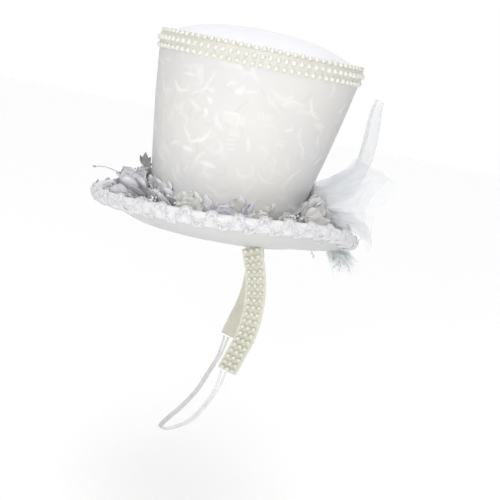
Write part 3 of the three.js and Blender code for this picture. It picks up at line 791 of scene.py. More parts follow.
def make_tip():
    steps = 240
    angle = around(steps)
    share = np.concatenate([np.linspace(0.02, 0.9, 30), np.linspace(0.915, 1, 12)])
    columns = 2 * len(share)
    pucker = 0.22 * wobble(angle * 14, share * 5, seed=8) * np.clip((share - 0.55) / 0.45, 0, 1)
    slack = (pucker + 0.25 * wobble(angle * 3, share * 6, seed=9)) * np.clip((1.0 - share) / 0.05, 0, 1)
    layers = (
        ("tip_satin_cover", "crown_tip_cover", 1.0, 0.0, 0.7, TIP_SATIN, "tip_satin"),
        ("tip_buckram", "crown_tip_form", 0.985, 1.0, 2.6, BUCKRAM, "buckram"),
        ("tip_lining", "crown_tip_lining", 0.965, 2.9, 3.5, LINING, "lining"),
    )
    for name, node, rim, top, bottom, material, slot in layers:
        drop = DOME_HEIGHT * (np.abs(share) ** DOME_POWER - np.abs(share * rim) ** DOME_POWER)
        soft = slack if material is TIP_SATIN else 0
        upper = on_tip(angle, share * rim, top + drop - soft)
        lower = on_tip(angle, share * rim, bottom + drop)[:, ::-1]
        poles = on_tip(0.0, 0.0, np.array([top, bottom]))
        verts = np.vstack([np.concatenate([upper, lower], 1).reshape(-1, 3), poles])
        faces = grid_faces(steps, columns, True, False).tolist()
        for here, beside in zip(range(steps), [*range(1, steps), 0]):
            faces.append([steps * columns, here * columns, beside * columns])
            faces.append([steps * columns + 1, (beside + 1) * columns - 1, (here + 1) * columns - 1])
        make_piece(name, verts, faces, material, slot, replaces=[node])


def arc_places(place, spacing):
    """Angles at equal steps of length round a closed line, as near the spacing as goes a whole number."""
    angle = np.linspace(0, TAU, 2881)
    run = run_along(place(angle))
    count = int(round(run[-1] / spacing))
    return np.interp(np.arange(count) * run[-1] / count, run, angle)


PEARL_PITCH, PEARL_RADIUS = 7.45, 2.75


def make_crown_pearls():
    ball, ball_faces = unit_ball(16, 11)
    rows = (
        ("bottom", 0.35, 172.6, 0.0),
        ("middle", 0.55, 180.0, 0.0),
        ("top", -3.0, 187.5, math.radians(48)),
    )
    for row, outside, z, tilt in rows:
        batch = Batch()
        for angle in arc_places(lambda a: on_crown(a, 0.0, np.full_like(a, 180.0)), PEARL_PITCH):
            middle = on_crown(angle, outside, z)
            basis = raised_basis(np.array([math.cos(angle) / WIDTH_RATIO, math.sin(angle), 0]), tilt)
            along, _, out = basis
            batch.add(middle + (ball * [1, 1, 0.92] * PEARL_RADIUS) @ basis, ball_faces)
            cord = ball * [PEARL_PITCH / 2, 0.45, 0.45]
            batch.add(middle - out * 0.6 + along * PEARL_PITCH / 2 + cord @ basis, ball_faces)
        batch.piece(f"pearls_{row}", PEARL, "pearl", replaces=[f"pearl_row_{row}"])
    tape = [(0.55, 169.5), (0.62, 176), (0.62, 181.8), (0.4, 183.6), (-0.6, 185.0), (-2.4, 186.2),
            (-4.9, 187.3), (-4.9, 186.7), (-2.4, 185.5), (-0.7, 184.4), (0.2, 183.2), (0.3, 181.8),
            (0.3, 169.5)]
    ring_piece("pearl_net_tape", tape, on_crown, PEARL_TAPE, "ribbon", replaces=["pearl_tape"])


make_crown_cover()
make_crown_layers()
make_tip()
make_crown_pearls()


# ---------------------------------------------------------------- brim
def share_along(angle, share):
    """Distance along the brim's section: 0 to 1 over the flat and 1 to 2 up the arc."""
    _, _, _, radius, turn, flat = brim_section(angle)
    return np.minimum(share, 1) * flat + np.maximum(share - 1, 0) * radius * turn


def make_brim_layers():
    shares = np.concatenate([np.linspace(0, 1, 20), np.linspace(1.04, 1.98, 24)])
    layers = (
        ("brim_satin_under", "brim_under_cover", 0.0, 0.6, BRIM_SATIN_PAINTED_SHADE, "brim_satin", 0.18),
        ("brim_buckram", "brim_form", 0.9, 2.9, BUCKRAM, "buckram", 0.0),
        ("brim_satin_top", "brim_top_cover", 3.2, 3.8, BRIM_SATIN_PAINTED_SHADE, "brim_satin", 0.18),
    )
    for name, node, bottom, top, material, slot, slack in layers:
        def place(angle, share, over, slack=slack):
            ripple = slack * wobble(angle * 11, share * 2.2, seed=21) * np.clip(share, 0, 1)
            return on_brim(angle, share_along(angle, share), over + np.maximum(ripple, -0.1))

        profile = [(s, bottom) for s in shares] + [(s, top) for s in shares[::-1]]
        ring_piece(name, profile, place, material, slot, steps=360, replaces=[node])


def roll_point(turn, grow):
    """Section point of the padded edge: distance past the brim's end, and height over the underside."""
    past = ROLL_MIDDLE[0] + (ROLL_HALF_HEIGHT + grow) * np.cos(turn)
    return past, ROLL_MIDDLE[1] + (ROLL_HALF_THICKNESS + grow) * np.sin(turn)


def make_edge_roll():
    """Satin drawn round a padded edge: small lengthwise folds, and its two raw edges turned under."""
    turns = np.radians(np.linspace(-148, 148, 64))
    steps = 720
    angle = around(steps)
    fold = 0.35 * wobble(angle * 17, turns[None, :] * 4.5, seed=31)
    fold = fold + 0.28 * wobble(angle * 47, turns * 1.2, seed=33)
    past, over = roll_point(turns[None, :] + 0 * angle, fold)
    tuck = [(-6.3, 4.15), (-6.0, 3.95), (2.4, 4.4), (2.4, -0.6), (-6.0, -0.15), (-6.3, -0.35)]
    tucked = np.broadcast_to(tuck, (steps, len(tuck), 2))
    verts = past_edge(angle, np.hstack([past, tucked[..., 0]]), np.hstack([over, tucked[..., 1]]))
    faces = grid_faces(steps, verts.shape[1], True, True)
    roll = make_piece("padded_edge", verts, faces, EDGE_SATIN, "tip_satin", replaces=["brim_edge_binding"])
    circle = np.radians(np.arange(0, 360, 30))
    profile = [(1.3 + 0.8 * math.cos(t), 1.9 + 0.8 * math.sin(t)) for t in circle]
    ring_piece("edge_wire", profile, past_edge, SILVER, "wire", replaces=["brim_wire"])


LACE_REPEATS = 32
LACE_CENTRE = math.radians(-78)  # middle of the lace on the roll's section
LACE_TOP = math.radians(-32)  # above this the scallops stand free
LACE_BOTTOM = math.radians(-128)  # below this they lie on the brim's underside


class LaceLay:
    """Lays the flat lace pattern (along the rim, across the edge, out from it) on the padded edge."""

    def __init__(self):
        angle = np.linspace(0, TAU, 2881)
        self.angle, self.run = angle, run_along(past_edge(angle, 3.0, ROLL_MIDDLE[1]))
        self.length = self.run[-1]
        turn = np.radians(np.linspace(-140, -10, 261))
        across = run_along(np.stack(roll_point(turn, 0.0), -1))
        self.turn, self.across = turn, across - np.interp(LACE_CENTRE, turn, across)
        self.top = np.interp(LACE_TOP, turn, self.across)
        self.bottom = np.interp(LACE_BOTTOM, turn, self.across)

    def place(self, pattern):
        along, across, out = pattern[..., 0], pattern[..., 1], pattern[..., 2]
        angle = np.interp(along % self.length, self.run, self.angle)
        held = np.clip(across, self.bottom, self.top)
        turn = np.interp(held, self.across, self.turn)
        past, over = roll_point(turn, out)
        free = across - held
        run_past = -ROLL_HALF_HEIGHT * np.sin(turn)
        run_over = ROLL_HALF_THICKNESS * np.cos(turn)
        size = np.hypot(run_past, run_over)
        return past_edge(angle, past + free * run_past / size, over + free * run_over / size)


def loop(centre, radii, count):
    turn = np.arange(count) * TAU / count
    return np.stack([centre[0] + radii[0] * np.cos(turn), centre[1] + radii[1] * np.sin(turn), 0 * turn], -1)


def lace_repeat(period):
    """One repeat, laid flat: a flower at the peak and one at the trough, leafy stems and a net ground."""
    pattern = Batch()
    ball, ball_faces = unit_ball(8, 5)

    def knot(x, y, radii, lean=0.0, lift=0.7):
        pattern.add(turned(ball * [*radii, 0.55], lean) + [x, y, lift], ball_faces)

    def cord(points, radius, lift, closed=False):
        pattern.add(*tube(np.asarray(points) + [0, 0, lift], radius, 5, closed))

    for (x, y), way, first, last in (((0, 4.6), 1, -20, 200), ((period / 2, -4.9), -1, -15, 195)):
        cord(loop((x, y), (1.25, 1.25), 9), 0.42, 0.9, True)
        knot(x, y, (0.6, 0.6), lift=1.0)
        turns = np.radians(np.linspace(first, last, 8))
        for k, turn in enumerate(turns):
            out_x, out_y = math.cos(turn), way * math.sin(turn)
            knot(x + 3.3 * out_x, y + 3.3 * out_y, (1.75, 0.95), math.atan2(out_y, out_x), 0.75)
            if 0 < k < 7:
                cord(loop((x + 5.2 * out_x, y + 5.2 * out_y), (0.95, 0.85), 8), 0.34, 0.55, True)
        for turn in (turns[1:] + turns[:-1]) / 2:
            knot(x + 5.6 * math.cos(turn), y + way * 5.6 * math.sin(turn), (0.5, 0.5), lift=0.5)
    share = np.linspace(0, 1, 15)
    reach = period / 2 - 5.2
    for mirror in (1, -1):
        for shift in (-1.1, 1.1):
            x = mirror * (2.6 + reach * share)
            y = 3.4 - 7.2 * share + shift + 1.0 * np.sin(share * TAU)
            cord(np.stack([x, y, 0 * x], -1), 0.42, 0.55)
        for k in range(4):
            at = 0.14 + 0.24 * k
            x, y = mirror * (2.6 + reach * at), 3.4 - 7.2 * at
            knot(x, y, (1.2, 0.6), mirror * 0.9, 0.8)
            side = 2.7 if k % 2 else -2.7
            knot(x, y + side, (1.3, 0.7), mirror * (1.5 if k % 2 else 0.3), 0.65)
            knot(x + mirror * 1.1, y - side * 0.9, (0.55, 0.55), lift=0.5)
    for k in range(8):
        for mirror in (1, -1):
            x = (k + 0.5) * period / 8 - period / 2 + mirror * np.linspace(-2.6, 2.6, 7)
            wave = 2.2 * np.cos(x / period * TAU)
            y = np.linspace(-5.2, 5.2, 7) + wave
            cord(np.stack([x, y, 0 * x], -1), 0.2, 0.3)
    return pattern


def make_lace():
    lay = LaceLay()
    period = lay.length / LACE_REPEATS
    pattern = lace_repeat(period)
    flat = np.concatenate(pattern.verts)
    batch = Batch()
    draw = random.Random(5)
    for k in range(LACE_REPEATS):
        stretch = [1, 1 + draw.uniform(-0.05, 0.05), 1]
        shifted = flat * stretch + [(k + 0.5) * period, draw.uniform(-0.4, 0.4), 0]
        batch.add(lay.place(shifted), pattern.faces)
    batch.piece("lace_edging", LACE_THREAD, "lace", replaces=["brim_lace_edging"])


make_brim_layers()
make_edge_roll()
make_lace()


# ---------------------------------------------------------------- garland
def petal(length, width, cup, curl, ruffle, phase, point=0.0, rows=10, columns=9):
    """One petal in its own axes: x across, y outward along it, z the side it faces."""
    p = np.linspace(0, 1, rows)[:, None]
    q = np.linspace(-1, 1, columns)[None, :]
    half = width / 2 * (1 - (1 - p) ** 2.2) ** 0.7 * (1 - p**7 * 0.96) ** 0.5 * (1 - point * p)
    x = half * q
    y = length * (p - 0.10 * p * q**2)
    z = cup * q**2 * (0.3 + 0.7 * p) + curl * p**2 + ruffle * p**1.5 * np.sin(phase + 4.5 * q + 1.5 * p)
    z = z + 0.03 * length * np.sin(phase * 3 + 9 * p + 2 * q) * p
    return np.stack(np.broadcast_arrays(x, y, z), -1), grid_faces(rows, columns)


def flower(batch, place, radius, petals, layers, draw):
    """Layers of petals round a centre; place takes local points to the hat."""
    for layer in range(layers):
        reach = radius * (1 - 0.25 * layer)
        for k in range(petals):
            turn = TAU * (k + 0.5 * layer) / petals + draw.uniform(-0.15, 0.15)
            length, width = reach * draw.uniform(0.92, 1.08), reach * draw.uniform(1.0, 1.2)
            points, faces = petal(length, width, reach * 0.10, reach * (0.08 + 0.22 * layer),
                                  reach * 0.05, draw.uniform(0, TAU))
            points[..., 2] += 1.1 * layer
            batch.add(place(turned(points, turn)), faces)


def facing_frame(middle, tilt):
    """A placing rule at a point in the garland whose local z looks out from the crown, raised by a tilt."""
    share = middle[2] / CROWN_HEIGHT
    level = np.array([middle[0] / WIDTH_RATIO**2, middle[1] - CROWN_LEAN * share, 0])
    basis = raised_basis(level, tilt)
    return lambda points: middle + points @ basis


def node_box(node):
    """Middle and half size of a frame node's box."""
    low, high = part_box(node)
    return np.array((low + high) / 2) / MM, np.array((high - low) / 2) / MM


def brilliant(radius, sides=8):
    """A small cut stone: table, crown and pavilion."""
    verts = []
    for share, height in ((0.55, 0.55), (1.0, 0.2), (1.0, 0.08)):
        for k in range(sides):
            turn, reach = TAU * (k + 0.5 * (share < 1)) / sides, share * radius
            verts.append((reach * math.cos(turn), reach * math.sin(turn), height * radius))
    verts.append((0, 0, -0.55 * radius))
    faces = [list(range(sides))]
    for k in range(sides):
        beside = (k + 1) % sides
        faces.append([k, sides + k, beside])
        faces.append([beside, sides + k, sides + beside])
        faces.append([sides + k, 2 * sides + k, 2 * sides + beside, sides + beside])
        faces.append([2 * sides + k, len(verts) - 1, 2 * sides + beside])
    return np.array(verts), faces


GARLAND_BEADS = Batch()
SMALL_BALL = unit_ball(10, 7)


def add_bead(spot, radius):
    GARLAND_BEADS.add(np.asarray(spot) + SMALL_BALL[0] * radius, SMALL_BALL[1])


def make_blossoms():
    """Fourteen organza flowers round the crown's foot, with seed pearls scattered over them."""
    slots = {row["node"]: row["material_slot"] for row in frame["record"]["subparts"]}
    draw = random.Random(17)
    for node in sorted(name for name in slots if name.startswith("blossom")):
        colour = slots[node].replace("organza_", "")
        low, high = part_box(node)
        middle = np.array((low + high) / 2) / MM
        radius = (high.z - low.z) / MM / 2 * 1.2
        place = facing_frame(middle, math.radians(26 if colour == "grey" else 18))
        batch = Batch()
        flower(batch, lambda p, place=place: place(p - [0, 0, 3.0]), radius, 6, 3, draw)
        name = node.replace("blossom", "flower")
        thicken(batch.piece(name, ORGANZA[colour], f"organza_{colour}", replaces=[node]), 0.22)
        for _ in range(4):
            turn, reach = draw.uniform(0, TAU), draw.uniform(0.25, 0.95) * radius
            height = 2.5 + 2.2 * (1 - reach / radius)
            spot = np.array([math.cos(turn) * reach, math.sin(turn) * reach, height])
            add_bead(place(spot), draw.choice((0.8, 1.0, 1.3)))


def make_jewels():
    """Cut stones in claw settings, each in a ring of little stones; two of the settings hold pearls."""
    draw = random.Random(23)
    for row in frame["record"]["subparts"]:
        node, slot = row["node"], row["material_slot"]
        on_garland = node.startswith(("pearl_", "rhinestone_"))
        if not on_garland or node.startswith(("pearl_row", "pearl_tape")):
            continue
        place = facing_frame(node_box(node)[0], math.radians(20))
        stones = Batch()
        if slot == "pearl":
            stones.add(place(SMALL_BALL[0] * 3.1), SMALL_BALL[1])
        else:
            verts, faces = brilliant(3.3)
            stones.add(place(verts), faces)
        for k in range(8):
            turn = TAU * k / 8
            spot = np.array([4.4 * math.cos(turn), 4.4 * math.sin(turn), -0.8])
            verts, faces = (SMALL_BALL[0] * 1.0, SMALL_BALL[1]) if slot == "pearl" else brilliant(1.25, 6)
            stones.add(place(verts + spot), faces)
        stones.piece(node.replace("rhinestone", "stone").replace("pearl", "bead"),
                     STONE if slot == "rhinestone" else PEARL, slot, replaces=[node], sharp=15)
        setting = Batch()
        turn = np.arange(20) * TAU / 20
        for radius in (3.3, 4.4):
            ring = np.stack([radius * np.cos(turn), radius * np.sin(turn), -1.0 + 0 * turn], -1)
            setting.add(*tube(place(ring), 0.38, 5, True))
        for _ in range(5):
            heading, reach = draw.uniform(0, TAU), draw.uniform(8, 13)
            share = np.linspace(0, 1, 8)
            x, y = reach * share * math.cos(heading), reach * share * math.sin(heading)
            spray = place(np.stack([x, y, -1 + 3.5 * share**2 * draw.uniform(0.2, 1)], -1))
            setting.add(*tube(spray, 0.22, 4))
            for at in (-1, -4):
                add_bead(spray[at], draw.choice((0.9, 1.2)))
        setting.piece(f"{node.replace('rhinestone', 'stone')}_setting", SILVER, "wire")


def brim_petal(batch, angle, along, pitch, yaw, length, width, draw, lift=0.8):
    """A petal rooted on the brim, leaning out from the crown at a pitch over the level."""
    root = on_brim(angle, along, BRIM_THICKNESS + lift)
    outward = np.array([*brim_section(np.array(angle))[1], 0.0])
    side = np.array([-outward[1], outward[0], 0.0])
    cos, sin = math.cos(yaw), math.sin(yaw)
    outward, side = outward * cos + side * sin, side * cos - outward * sin
    reach = outward * math.cos(pitch) + np.array([0, 0, math.sin(pitch)])
    points, faces = petal(length, width, -0.10 * width, draw.uniform(-0.16, 0.05) * length, 0.05 * width,
                          draw.uniform(0, TAU))
    batch.add(root + points @ np.stack([side, reach, np.cross(side, reach)]), faces)
    return root + reach * length


def garland_colour(angle, draw):
    """Greys at the front and back, soft mixed tints along the sides."""
    toward_front = -math.sin(angle)
    if toward_front > 0.84 or (abs(toward_front) > 0.7 and draw.random() < 0.5):
        return "grey"
    if toward_front < -0.84:
        return draw.choice(("grey", "cream", "grey", "lavender"))
    return draw.choice(("lavender", "cream", "cream", "peach", "lavender", "grey"))


UPRIGHT_PETALS, LAID_PETALS = 640, 260


def make_loose_petals():
    """Petals that fill the space round the flowers: upright on the crown along the sides, and laid over one
    another across the brim at the front and back."""
    draw = random.Random(41)
    batches = {colour: Batch() for colour in ORGANZA}
    for _ in range(UPRIGHT_PETALS):
        angle = draw.uniform(0, TAU)
        colour = garland_colour(angle, draw)
        tip = brim_petal(batches[colour], angle, draw.uniform(3.5, 9), math.radians(draw.uniform(66, 86)),
                         draw.uniform(-0.6, 0.6), draw.uniform(15, 23), draw.uniform(13, 19), draw,
                         draw.uniform(2, 24 + 11 * max(0.0, math.sin(angle))))
        if draw.random() < 0.10:
            add_bead(tip, draw.choice((0.7, 1.0)))
    for _ in range(LAID_PETALS):
        front = draw.random() < 0.62
        spread = draw.uniform(-1.0, 1.0)
        angle = -math.pi / 2 + spread if front else math.pi / 2 + spread * 0.8
        share = draw.uniform(0.06, 0.64)
        along = share * float(brim_length(np.array(angle)))
        grey = draw.random() < (0.5 if not front else 1 if abs(spread) < 0.75 else 0.5)
        colour = "grey" if grey else draw.choice(("cream", "lavender", "cream"))
        pitch = math.radians(46 - 44 * share + draw.uniform(-7, 7))
        lift = 1 + (1 - share) ** 1.3 * draw.uniform(4, 24)
        tip = brim_petal(batches[colour], angle, along, pitch, draw.uniform(-0.8, 0.8),
                         draw.uniform(17, 24) * (1.12 - 0.5 * share), draw.uniform(16, 21), draw, lift)
        if draw.random() < 0.08:
            add_bead(tip + [0, 0, 0.6], draw.choice((0.7, 1.0, 1.3)))
    for centre, spread, count in ((-90, 34, 34), (64, 15, 8), (116, 15, 8)):
        for _ in range(count):
            angle = math.radians(centre + draw.uniform(-spread, spread))
            share = draw.uniform(0.12, 0.46)
            brim_petal(batches["grey"], angle, share * float(brim_length(np.array(angle))),
                       math.radians(54 - 62 * share + draw.uniform(-6, 6)), draw.uniform(-0.7, 0.7),
                       draw.uniform(23, 29), draw.uniform(21, 26), draw,
                       (1.25 - share) * draw.uniform(5, 24))
    for colour, batch in batches.items():
        thicken(batch.piece(f"petals_{colour}", ORGANZA[colour], f"organza_{colour}"), 0.2)


def leaf(batch, place, length, width, lean, curl, phase):
    """A creased organza leaf on a short stem."""
    points, faces = petal(length, width, 0.16 * width, curl, 0.10 * width, phase, 0.75, 12, 9)
    points[..., 2] += 0.35 * np.abs(points[..., 0]) - 0.3
    batch.add(place(turned(points, lean)), faces)


def make_broad_leaves():
    """Broad grey leaves laid flat against the garland's two ends, seen full on from either side."""
    draw = random.Random(5)
    ends = (
        ("back", LEAF_GREY, (30, 47), (77, 91), (20, 42), (12, 84)),
        ("front", ORGANZA["grey"], (14, 46), (-95, -75), (14, 27), (104, 156)),
    )
    for name, material, out, along, up, headings in ends:
        batch = Batch()
        for side in (1, -1):
            for _ in range(22):
                foot = [side * draw.uniform(*out), draw.uniform(*along), draw.uniform(*up)]
                heading = math.radians(draw.uniform(*headings))
                reach = np.array([0.10 * side, math.cos(heading), math.sin(heading)])
                across = np.array([0.15, -math.sin(heading), math.cos(heading)])
                length = draw.uniform(19, 25) * (0.72 + 0.28 * math.sin(heading))
                points, faces = petal(length, length * 0.86, side * 0.05 * length, 0, 0.5,
                                      draw.uniform(0, TAU), 0.2)
                batch.add(foot + points @ np.stack([across, reach, np.cross(across, reach)]), faces)
        thicken(batch.piece(f"leaves_{name}_broad", material, "organza_grey"), 0.2)


def make_sprigs():
    for end, material in (("front", TWIG), ("back", ORGANZA["grey"])):
        low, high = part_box(f"leaf_sprig_{end}")
        middle = np.array((low + high) / 2) / MM
        foot = middle - [0, 0, (high.z - low.z) / MM * 0.45]
        place = sideways_frame(foot, -1) if end == "front" else facing_frame(foot, math.radians(-30))
        batch = Batch()
        for lean, length, phase in ((0.05, 15, 0.3), (0.5, 12, 1.9), (-0.45, 12, 4.0), (1.1, 9, 2.6)):
            leaf(batch, place, length, length * 0.85, lean, draw_curl(phase), phase)
        leaves = batch.piece(f"leaves_{end}", material, "organza_grey", replaces=[f"leaf_sprig_{end}"])
        thicken(leaves, 0.25)
    line = smooth_line([(24, -107, 42), (24, -117, 44.5), (23, -125, 44.5), (22, -132, 43)], 20)
    thread = Batch()
    thread.add(*tube(line, 0.42, 6))
    thread.add(line[-1] + SMALL_BALL[0] * [1.0, 2.2, 1.0], SMALL_BALL[1])
    thread.piece("stamen_thread", TWIG, "wire", replaces=["stamen"])


def sideways_frame(foot, out):
    """A placing rule whose local z looks to the wearer's left, with local x pointing out from the crown."""
    basis = np.array([[0.0, out, 0.0], [0.0, 0.18 * out, 0.98], [-out, 0.0, 0.0]])
    return lambda points: foot + points @ basis


def draw_curl(phase):
    return 2.5 * math.sin(phase * 2.1)


def make_ruched_band():
    steps = 900
    angle = around(steps)
    up = np.linspace(0, 1, 14)
    level = 4.1 + 15.9 * up[None, :]
    puff = 1.3 + 1.2 * np.sin(math.pi * up) + 0.55 * np.abs(np.sin(angle * 62 + 2 * up)) * (0.4 + up)
    outer = on_crown(angle, puff, level)
    inner = on_crown(angle, 0.35, level[:, ::-1] + 0 * angle)
    verts = np.concatenate([outer, inner], 1)
    make_piece("ruched_band", verts, grid_faces(steps, verts.shape[1], True, True), ORGANZA["cream"],
               "organza_cream", replaces=["garland_band"])


make_ruched_band()
make_blossoms()
make_jewels()
make_loose_petals()
make_broad_leaves()
make_sprigs()
GARLAND_BEADS.piece("garland_seed_pearls", SEED_PEARL, "pearl")


# ---------------------------------------------------------------- tulle and marabou
def ruled_surface(ribs, rows, columns):
    """A smooth sheet through a few ribs; the first axis runs along the ribs, the second from rib to rib."""
    lines = np.stack([smooth_line(rib, rows) for rib in ribs], 1)
    return np.stack([smooth_line(lines[row], columns) for row in range(rows)], 0)


def pleated(surface, pleats, depth, seed):
    """Gathers a sheet: pleats along its ribs, tight where they are held and looser at the free end."""
    rows, columns = surface.shape[:2]
    along = np.linspace(0, 1, rows)[:, None]
    across = np.linspace(0, 1, columns)[None, :]
    normal = np.cross(np.gradient(surface, axis=0), np.gradient(surface, axis=1))
    normal /= np.linalg.norm(normal, axis=-1)[..., None] + 1e-9
    drift = 0.5 * wobble(across * 9, along * 2, seed=seed)
    turn = TAU * pleats * across
    wave = np.sin(turn + drift * 2) + 0.4 * np.sin(2.3 * turn + 3 * along + drift)
    return surface + normal * (wave * (depth * (0.25 + 0.75 * along**0.8)))[..., None]


def make_net(name, surface, density, replaces):
    """A sheet of net held in the bow's knot; its density runs from the knot to the free end."""
    verts, faces = surface.reshape(-1, 3), grid_faces(*surface.shape[:2])
    piece = make_piece(name, verts, faces, TULLE, "tulle", replaces=replaces, sharp=180)
    gathered = np.linspace(*density, surface.shape[0])[:, None] + 0 * surface[..., 0]
    piece.data.attributes.new("gathered", "FLOAT", "POINT").data.foreach_set("value", gathered.ravel())


WING_RIBS = (
    ((8, 86, 66), (9, 101, 75), (10, 113, 84), (9, 124, 99)),
    ((9, 87, 62), (12, 108, 72), (15, 123, 84), (17, 137, 95)),
    ((10, 88, 57), (18, 116, 68), (28, 140, 80), (32, 165, 85)),
    ((12, 90, 51), (20, 114, 58), (30, 138, 65), (35, 157, 68)),
    ((13, 92, 46), (20, 112, 48), (28, 134, 50), (33, 150, 51)),
    ((14, 94, 40), (18, 112, 39), (24, 134, 36), (28, 151, 33)),
    ((14, 95, 34), (16, 112, 31), (18, 132, 28), (20, 145, 25), (21, 154, 19)),
)
TAIL_RIBS = (
    ((4, 98, 50), (6, 118, 45), (8, 138, 40), (9, 150, 34), (10, 156, 23)),
    ((8, 98, 46), (13, 117, 39), (19, 138, 33), (22, 149, 28), (24, 155, 17)),
    ((12, 97, 42), (21, 115, 35), (28, 134, 28), (32, 144, 24), (34, 150, 14)),
)
LOOP_LINE = (  # middle of the upright loop, with its half-width and half-depth
    ((0, 89, 51), 6, 8), ((0, 100, 57), 11, 12.5), ((0, 113, 68), 14, 13), ((0, 125.5, 82), 16, 10.5),
    ((0, 131.5, 97), 18, 7.4),
    ((0, 133, 112), 21, 6.8), ((0, 133.2, 128), 22, 6.8), ((0, 132.8, 142), 19, 7), ((0, 133, 152), 12, 6.6),
    ((0, 134.5, 161), 6, 4.5),
)


def mirror_ribs(ribs, side):
    return [mirrored(rib, side) for rib in ribs]


def make_tall_loop():
    """One length of tulle stood up out of the knot as a flattened loop, its edges lapped at the front."""
    rows, columns = 90, 110
    line = smooth_line([row[0] for row in LOOP_LINE], rows)
    sizes = smooth_line([(row[1], row[2], 0) for row in LOOP_LINE], rows)
    turn = np.linspace(-math.pi - 0.25, math.pi + 0.25, columns)[None, :] + 0.4
    share = np.linspace(0, 1, rows)[:, None]
    gather = 1 + 0.022 * np.sin(9 * turn + 2 * share) + 0.014 * np.sin(17 * turn + 5 * share)
    tangent, _, _ = frames_along(line)
    back = np.stack([0 * share[:, 0], tangent[:, 2], -tangent[:, 1]], -1)
    grow = 1 + 0.06 * np.linspace(-1, 1, columns)[None, :]
    across = sizes[:, :1] * np.cos(turn) * gather * grow
    deep = sizes[:, 1:2] * np.sin(turn) * gather * grow
    surface = line[:, None] + across[..., None] * np.array([1.0, 0, 0]) + deep[..., None] * back[:, None]
    make_net("tulle_loop", surface, (0.35, 0.15), ["tulle_tall_loop"])


def make_knot():
    middle, half = node_box("tulle_knot")
    ball, faces = unit_ball(64, 40)
    crease = 1 + 0.09 * np.sin(ball[:, 0] * 14 + 2 * np.sin(ball[:, 2] * 4))
    crease = crease + 0.05 * np.sin(ball[:, 0] * 31)
    verts = middle + ball * half * crease[:, None]
    make_piece("tulle_bow_knot", verts, faces, TULLE_KNOT, "tulle", replaces=["tulle_knot"])


def make_bow():
    make_knot()
    make_tall_loop()
    for side, name in ((1, "left"), (-1, "right")):
        wing = pleated(ruled_surface(mirror_ribs(WING_RIBS, side), 60, 120), 7, 0.9, 7)
        make_net(f"tulle_wing_{name}", wing, (1.0, 0.15), [f"tulle_fan_{name}"])
        tail = pleated(ruled_surface(mirror_ribs(TAIL_RIBS, side), 70, 40), 3, 0.5, 9)
        make_net(f"tulle_tail_sheet_{name}", tail, (0.25, 0.0), [f"tulle_tail_{name}"])


WISPS = 900


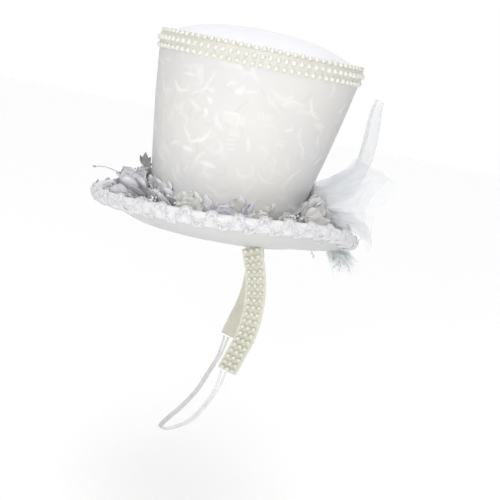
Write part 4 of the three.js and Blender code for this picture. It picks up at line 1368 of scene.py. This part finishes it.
def make_marabou():
    """Wisps of down on a short quill under the back of the brim."""
    draw = random.Random(77)
    batch = Batch()
    middle, half = node_box("marabou_puff")
    for _ in range(WISPS):
        across = draw.uniform(-1, 1)
        root = middle + half * [0.8 * across, 0, 0]
        root[1:] = draw.uniform(115, 138), draw.uniform(-4, 4)
        heading = draw.uniform(-0.5, 1.2)
        sideways = draw.uniform(-0.7, 0.7) + 0.3 * across
        out = np.array([sideways, math.cos(heading), -abs(math.sin(heading)) - 0.15])
        out /= np.linalg.norm(out)
        length = (5 + 16 * draw.random() ** 2.2) * (1.15 - 0.5 * abs(across))
        share = np.linspace(0, 1, 6)[:, None]
        sway = np.array([draw.uniform(-1, 1), draw.uniform(-1, 1), draw.uniform(-1.4, 0.3)]) * length * 0.35
        line = root + out * length * share + sway * share**2
        batch.add(*tube(line, 0.13 * (1.1 - share[:, 0]) + 0.03, 3))
    batch.piece("marabou_down", DOWN, "marabou", replaces=["marabou_puff"])
    stem = Batch()
    quill = smooth_line([middle + half * [-0.85, -0.2, 0.85], middle + half * [0, 0, 0.95],
                         middle + half * [0.85, -0.2, 0.85]], 20)
    stem.add(*tube(quill, 0.9, 8))
    sprays = (
        ((26, 96, 3), (30, 98, 0), (32, 101, -3)),
        ((18, 128, 1), (20, 136, -6), (20, 141, -14)),
        ((18, 126, 1), (21, 128, -6), (22, 129, -14)),
        ((20, 127, 1), (22, 126, -5), (23, 121, -11)),
    )
    for spray in sprays:
        line = smooth_line(spray, 14)
        stem.add(*tube(line, np.linspace(0.42, 0.14, 14), 5))
        for at in (4, 7, 10):
            side = 1 if at % 2 else -1
            tip = line[at] + [0.6 * side, 1.4 * side, -2.6]
            stem.add(*tube(np.linspace(line[at], tip, 5), [0.18, 0.3, 0.32, 0.25, 0.1], 5))
    stem.piece("dried_sprig", TWIG, "marabou")


make_bow()
make_marabou()


# ---------------------------------------------------------------- stage and light
def make_stage():
    """A pale floor just under the hanging elastic."""
    size, level = 6.0, -0.30
    corners = [(x * size, y * size, level) for x, y in ((-1, -1), (1, -1), (1, 1), (-1, 1))]
    mesh = bpy.data.meshes.new("floor")
    mesh.from_pydata(corners, [], [(0, 1, 2, 3)])
    paint = {"Base_Color": (0.99, 0.99, 0.99, 1), "Roughness": 0.9, "Specular_IOR_Level": 0.1}
    mesh.materials.append(surface("floor_paint", None, **paint)[0])
    floor = bpy.data.objects.new("floor", mesh)
    bpy.context.scene.collection.objects.link(floor)


KEY_PLACE, KEY_AIM = Vector((1.22, -0.12, 0.30)), Vector((0, 0, 0.05))


def make_key():
    """A small lamp near the camera."""
    data = bpy.data.lights.new("key", "AREA")
    data.energy, data.size, data.color = 6.0, 0.6, (1.0, 0.995, 0.985)
    light = bpy.data.objects.new("key", data)
    light.location = KEY_PLACE
    light.rotation_euler = (KEY_AIM - KEY_PLACE).to_track_quat("-Z", "Y").to_euler()
    bpy.context.scene.collection.objects.link(light)


def make_world():
    """A white studio, dimmer high up on the two sides of the view and brighter overhead."""
    world = bpy.data.worlds.new("studio")
    world.use_nodes = True
    tree = world.node_tree
    place = add_node(tree, "TexCoord").outputs["Generated"]
    _, y, z = add_node(tree, "SeparateXYZ", Vector=place).outputs
    sideways = ramp(tree, math_of(tree, "ABSOLUTE", y), 0.25, 0.7)
    dimmed = math_of(tree, "MULTIPLY", sideways, ramp(tree, z, 0.17, 0.32))
    overhead = ramp(tree, z, 0.3, 1.0, 1.0, 2.0)
    strength = math_of(tree, "MULTIPLY", math_of(tree, "SUBTRACT", 1.0, dimmed), overhead)
    set_values(tree, tree.nodes["Background"], {"Color": (1, 1, 1, 1), "Strength": strength})
    bpy.context.scene.world = world
    bpy.context.scene.view_settings.view_transform = "Standard"


make_stage()
make_world()
make_key()
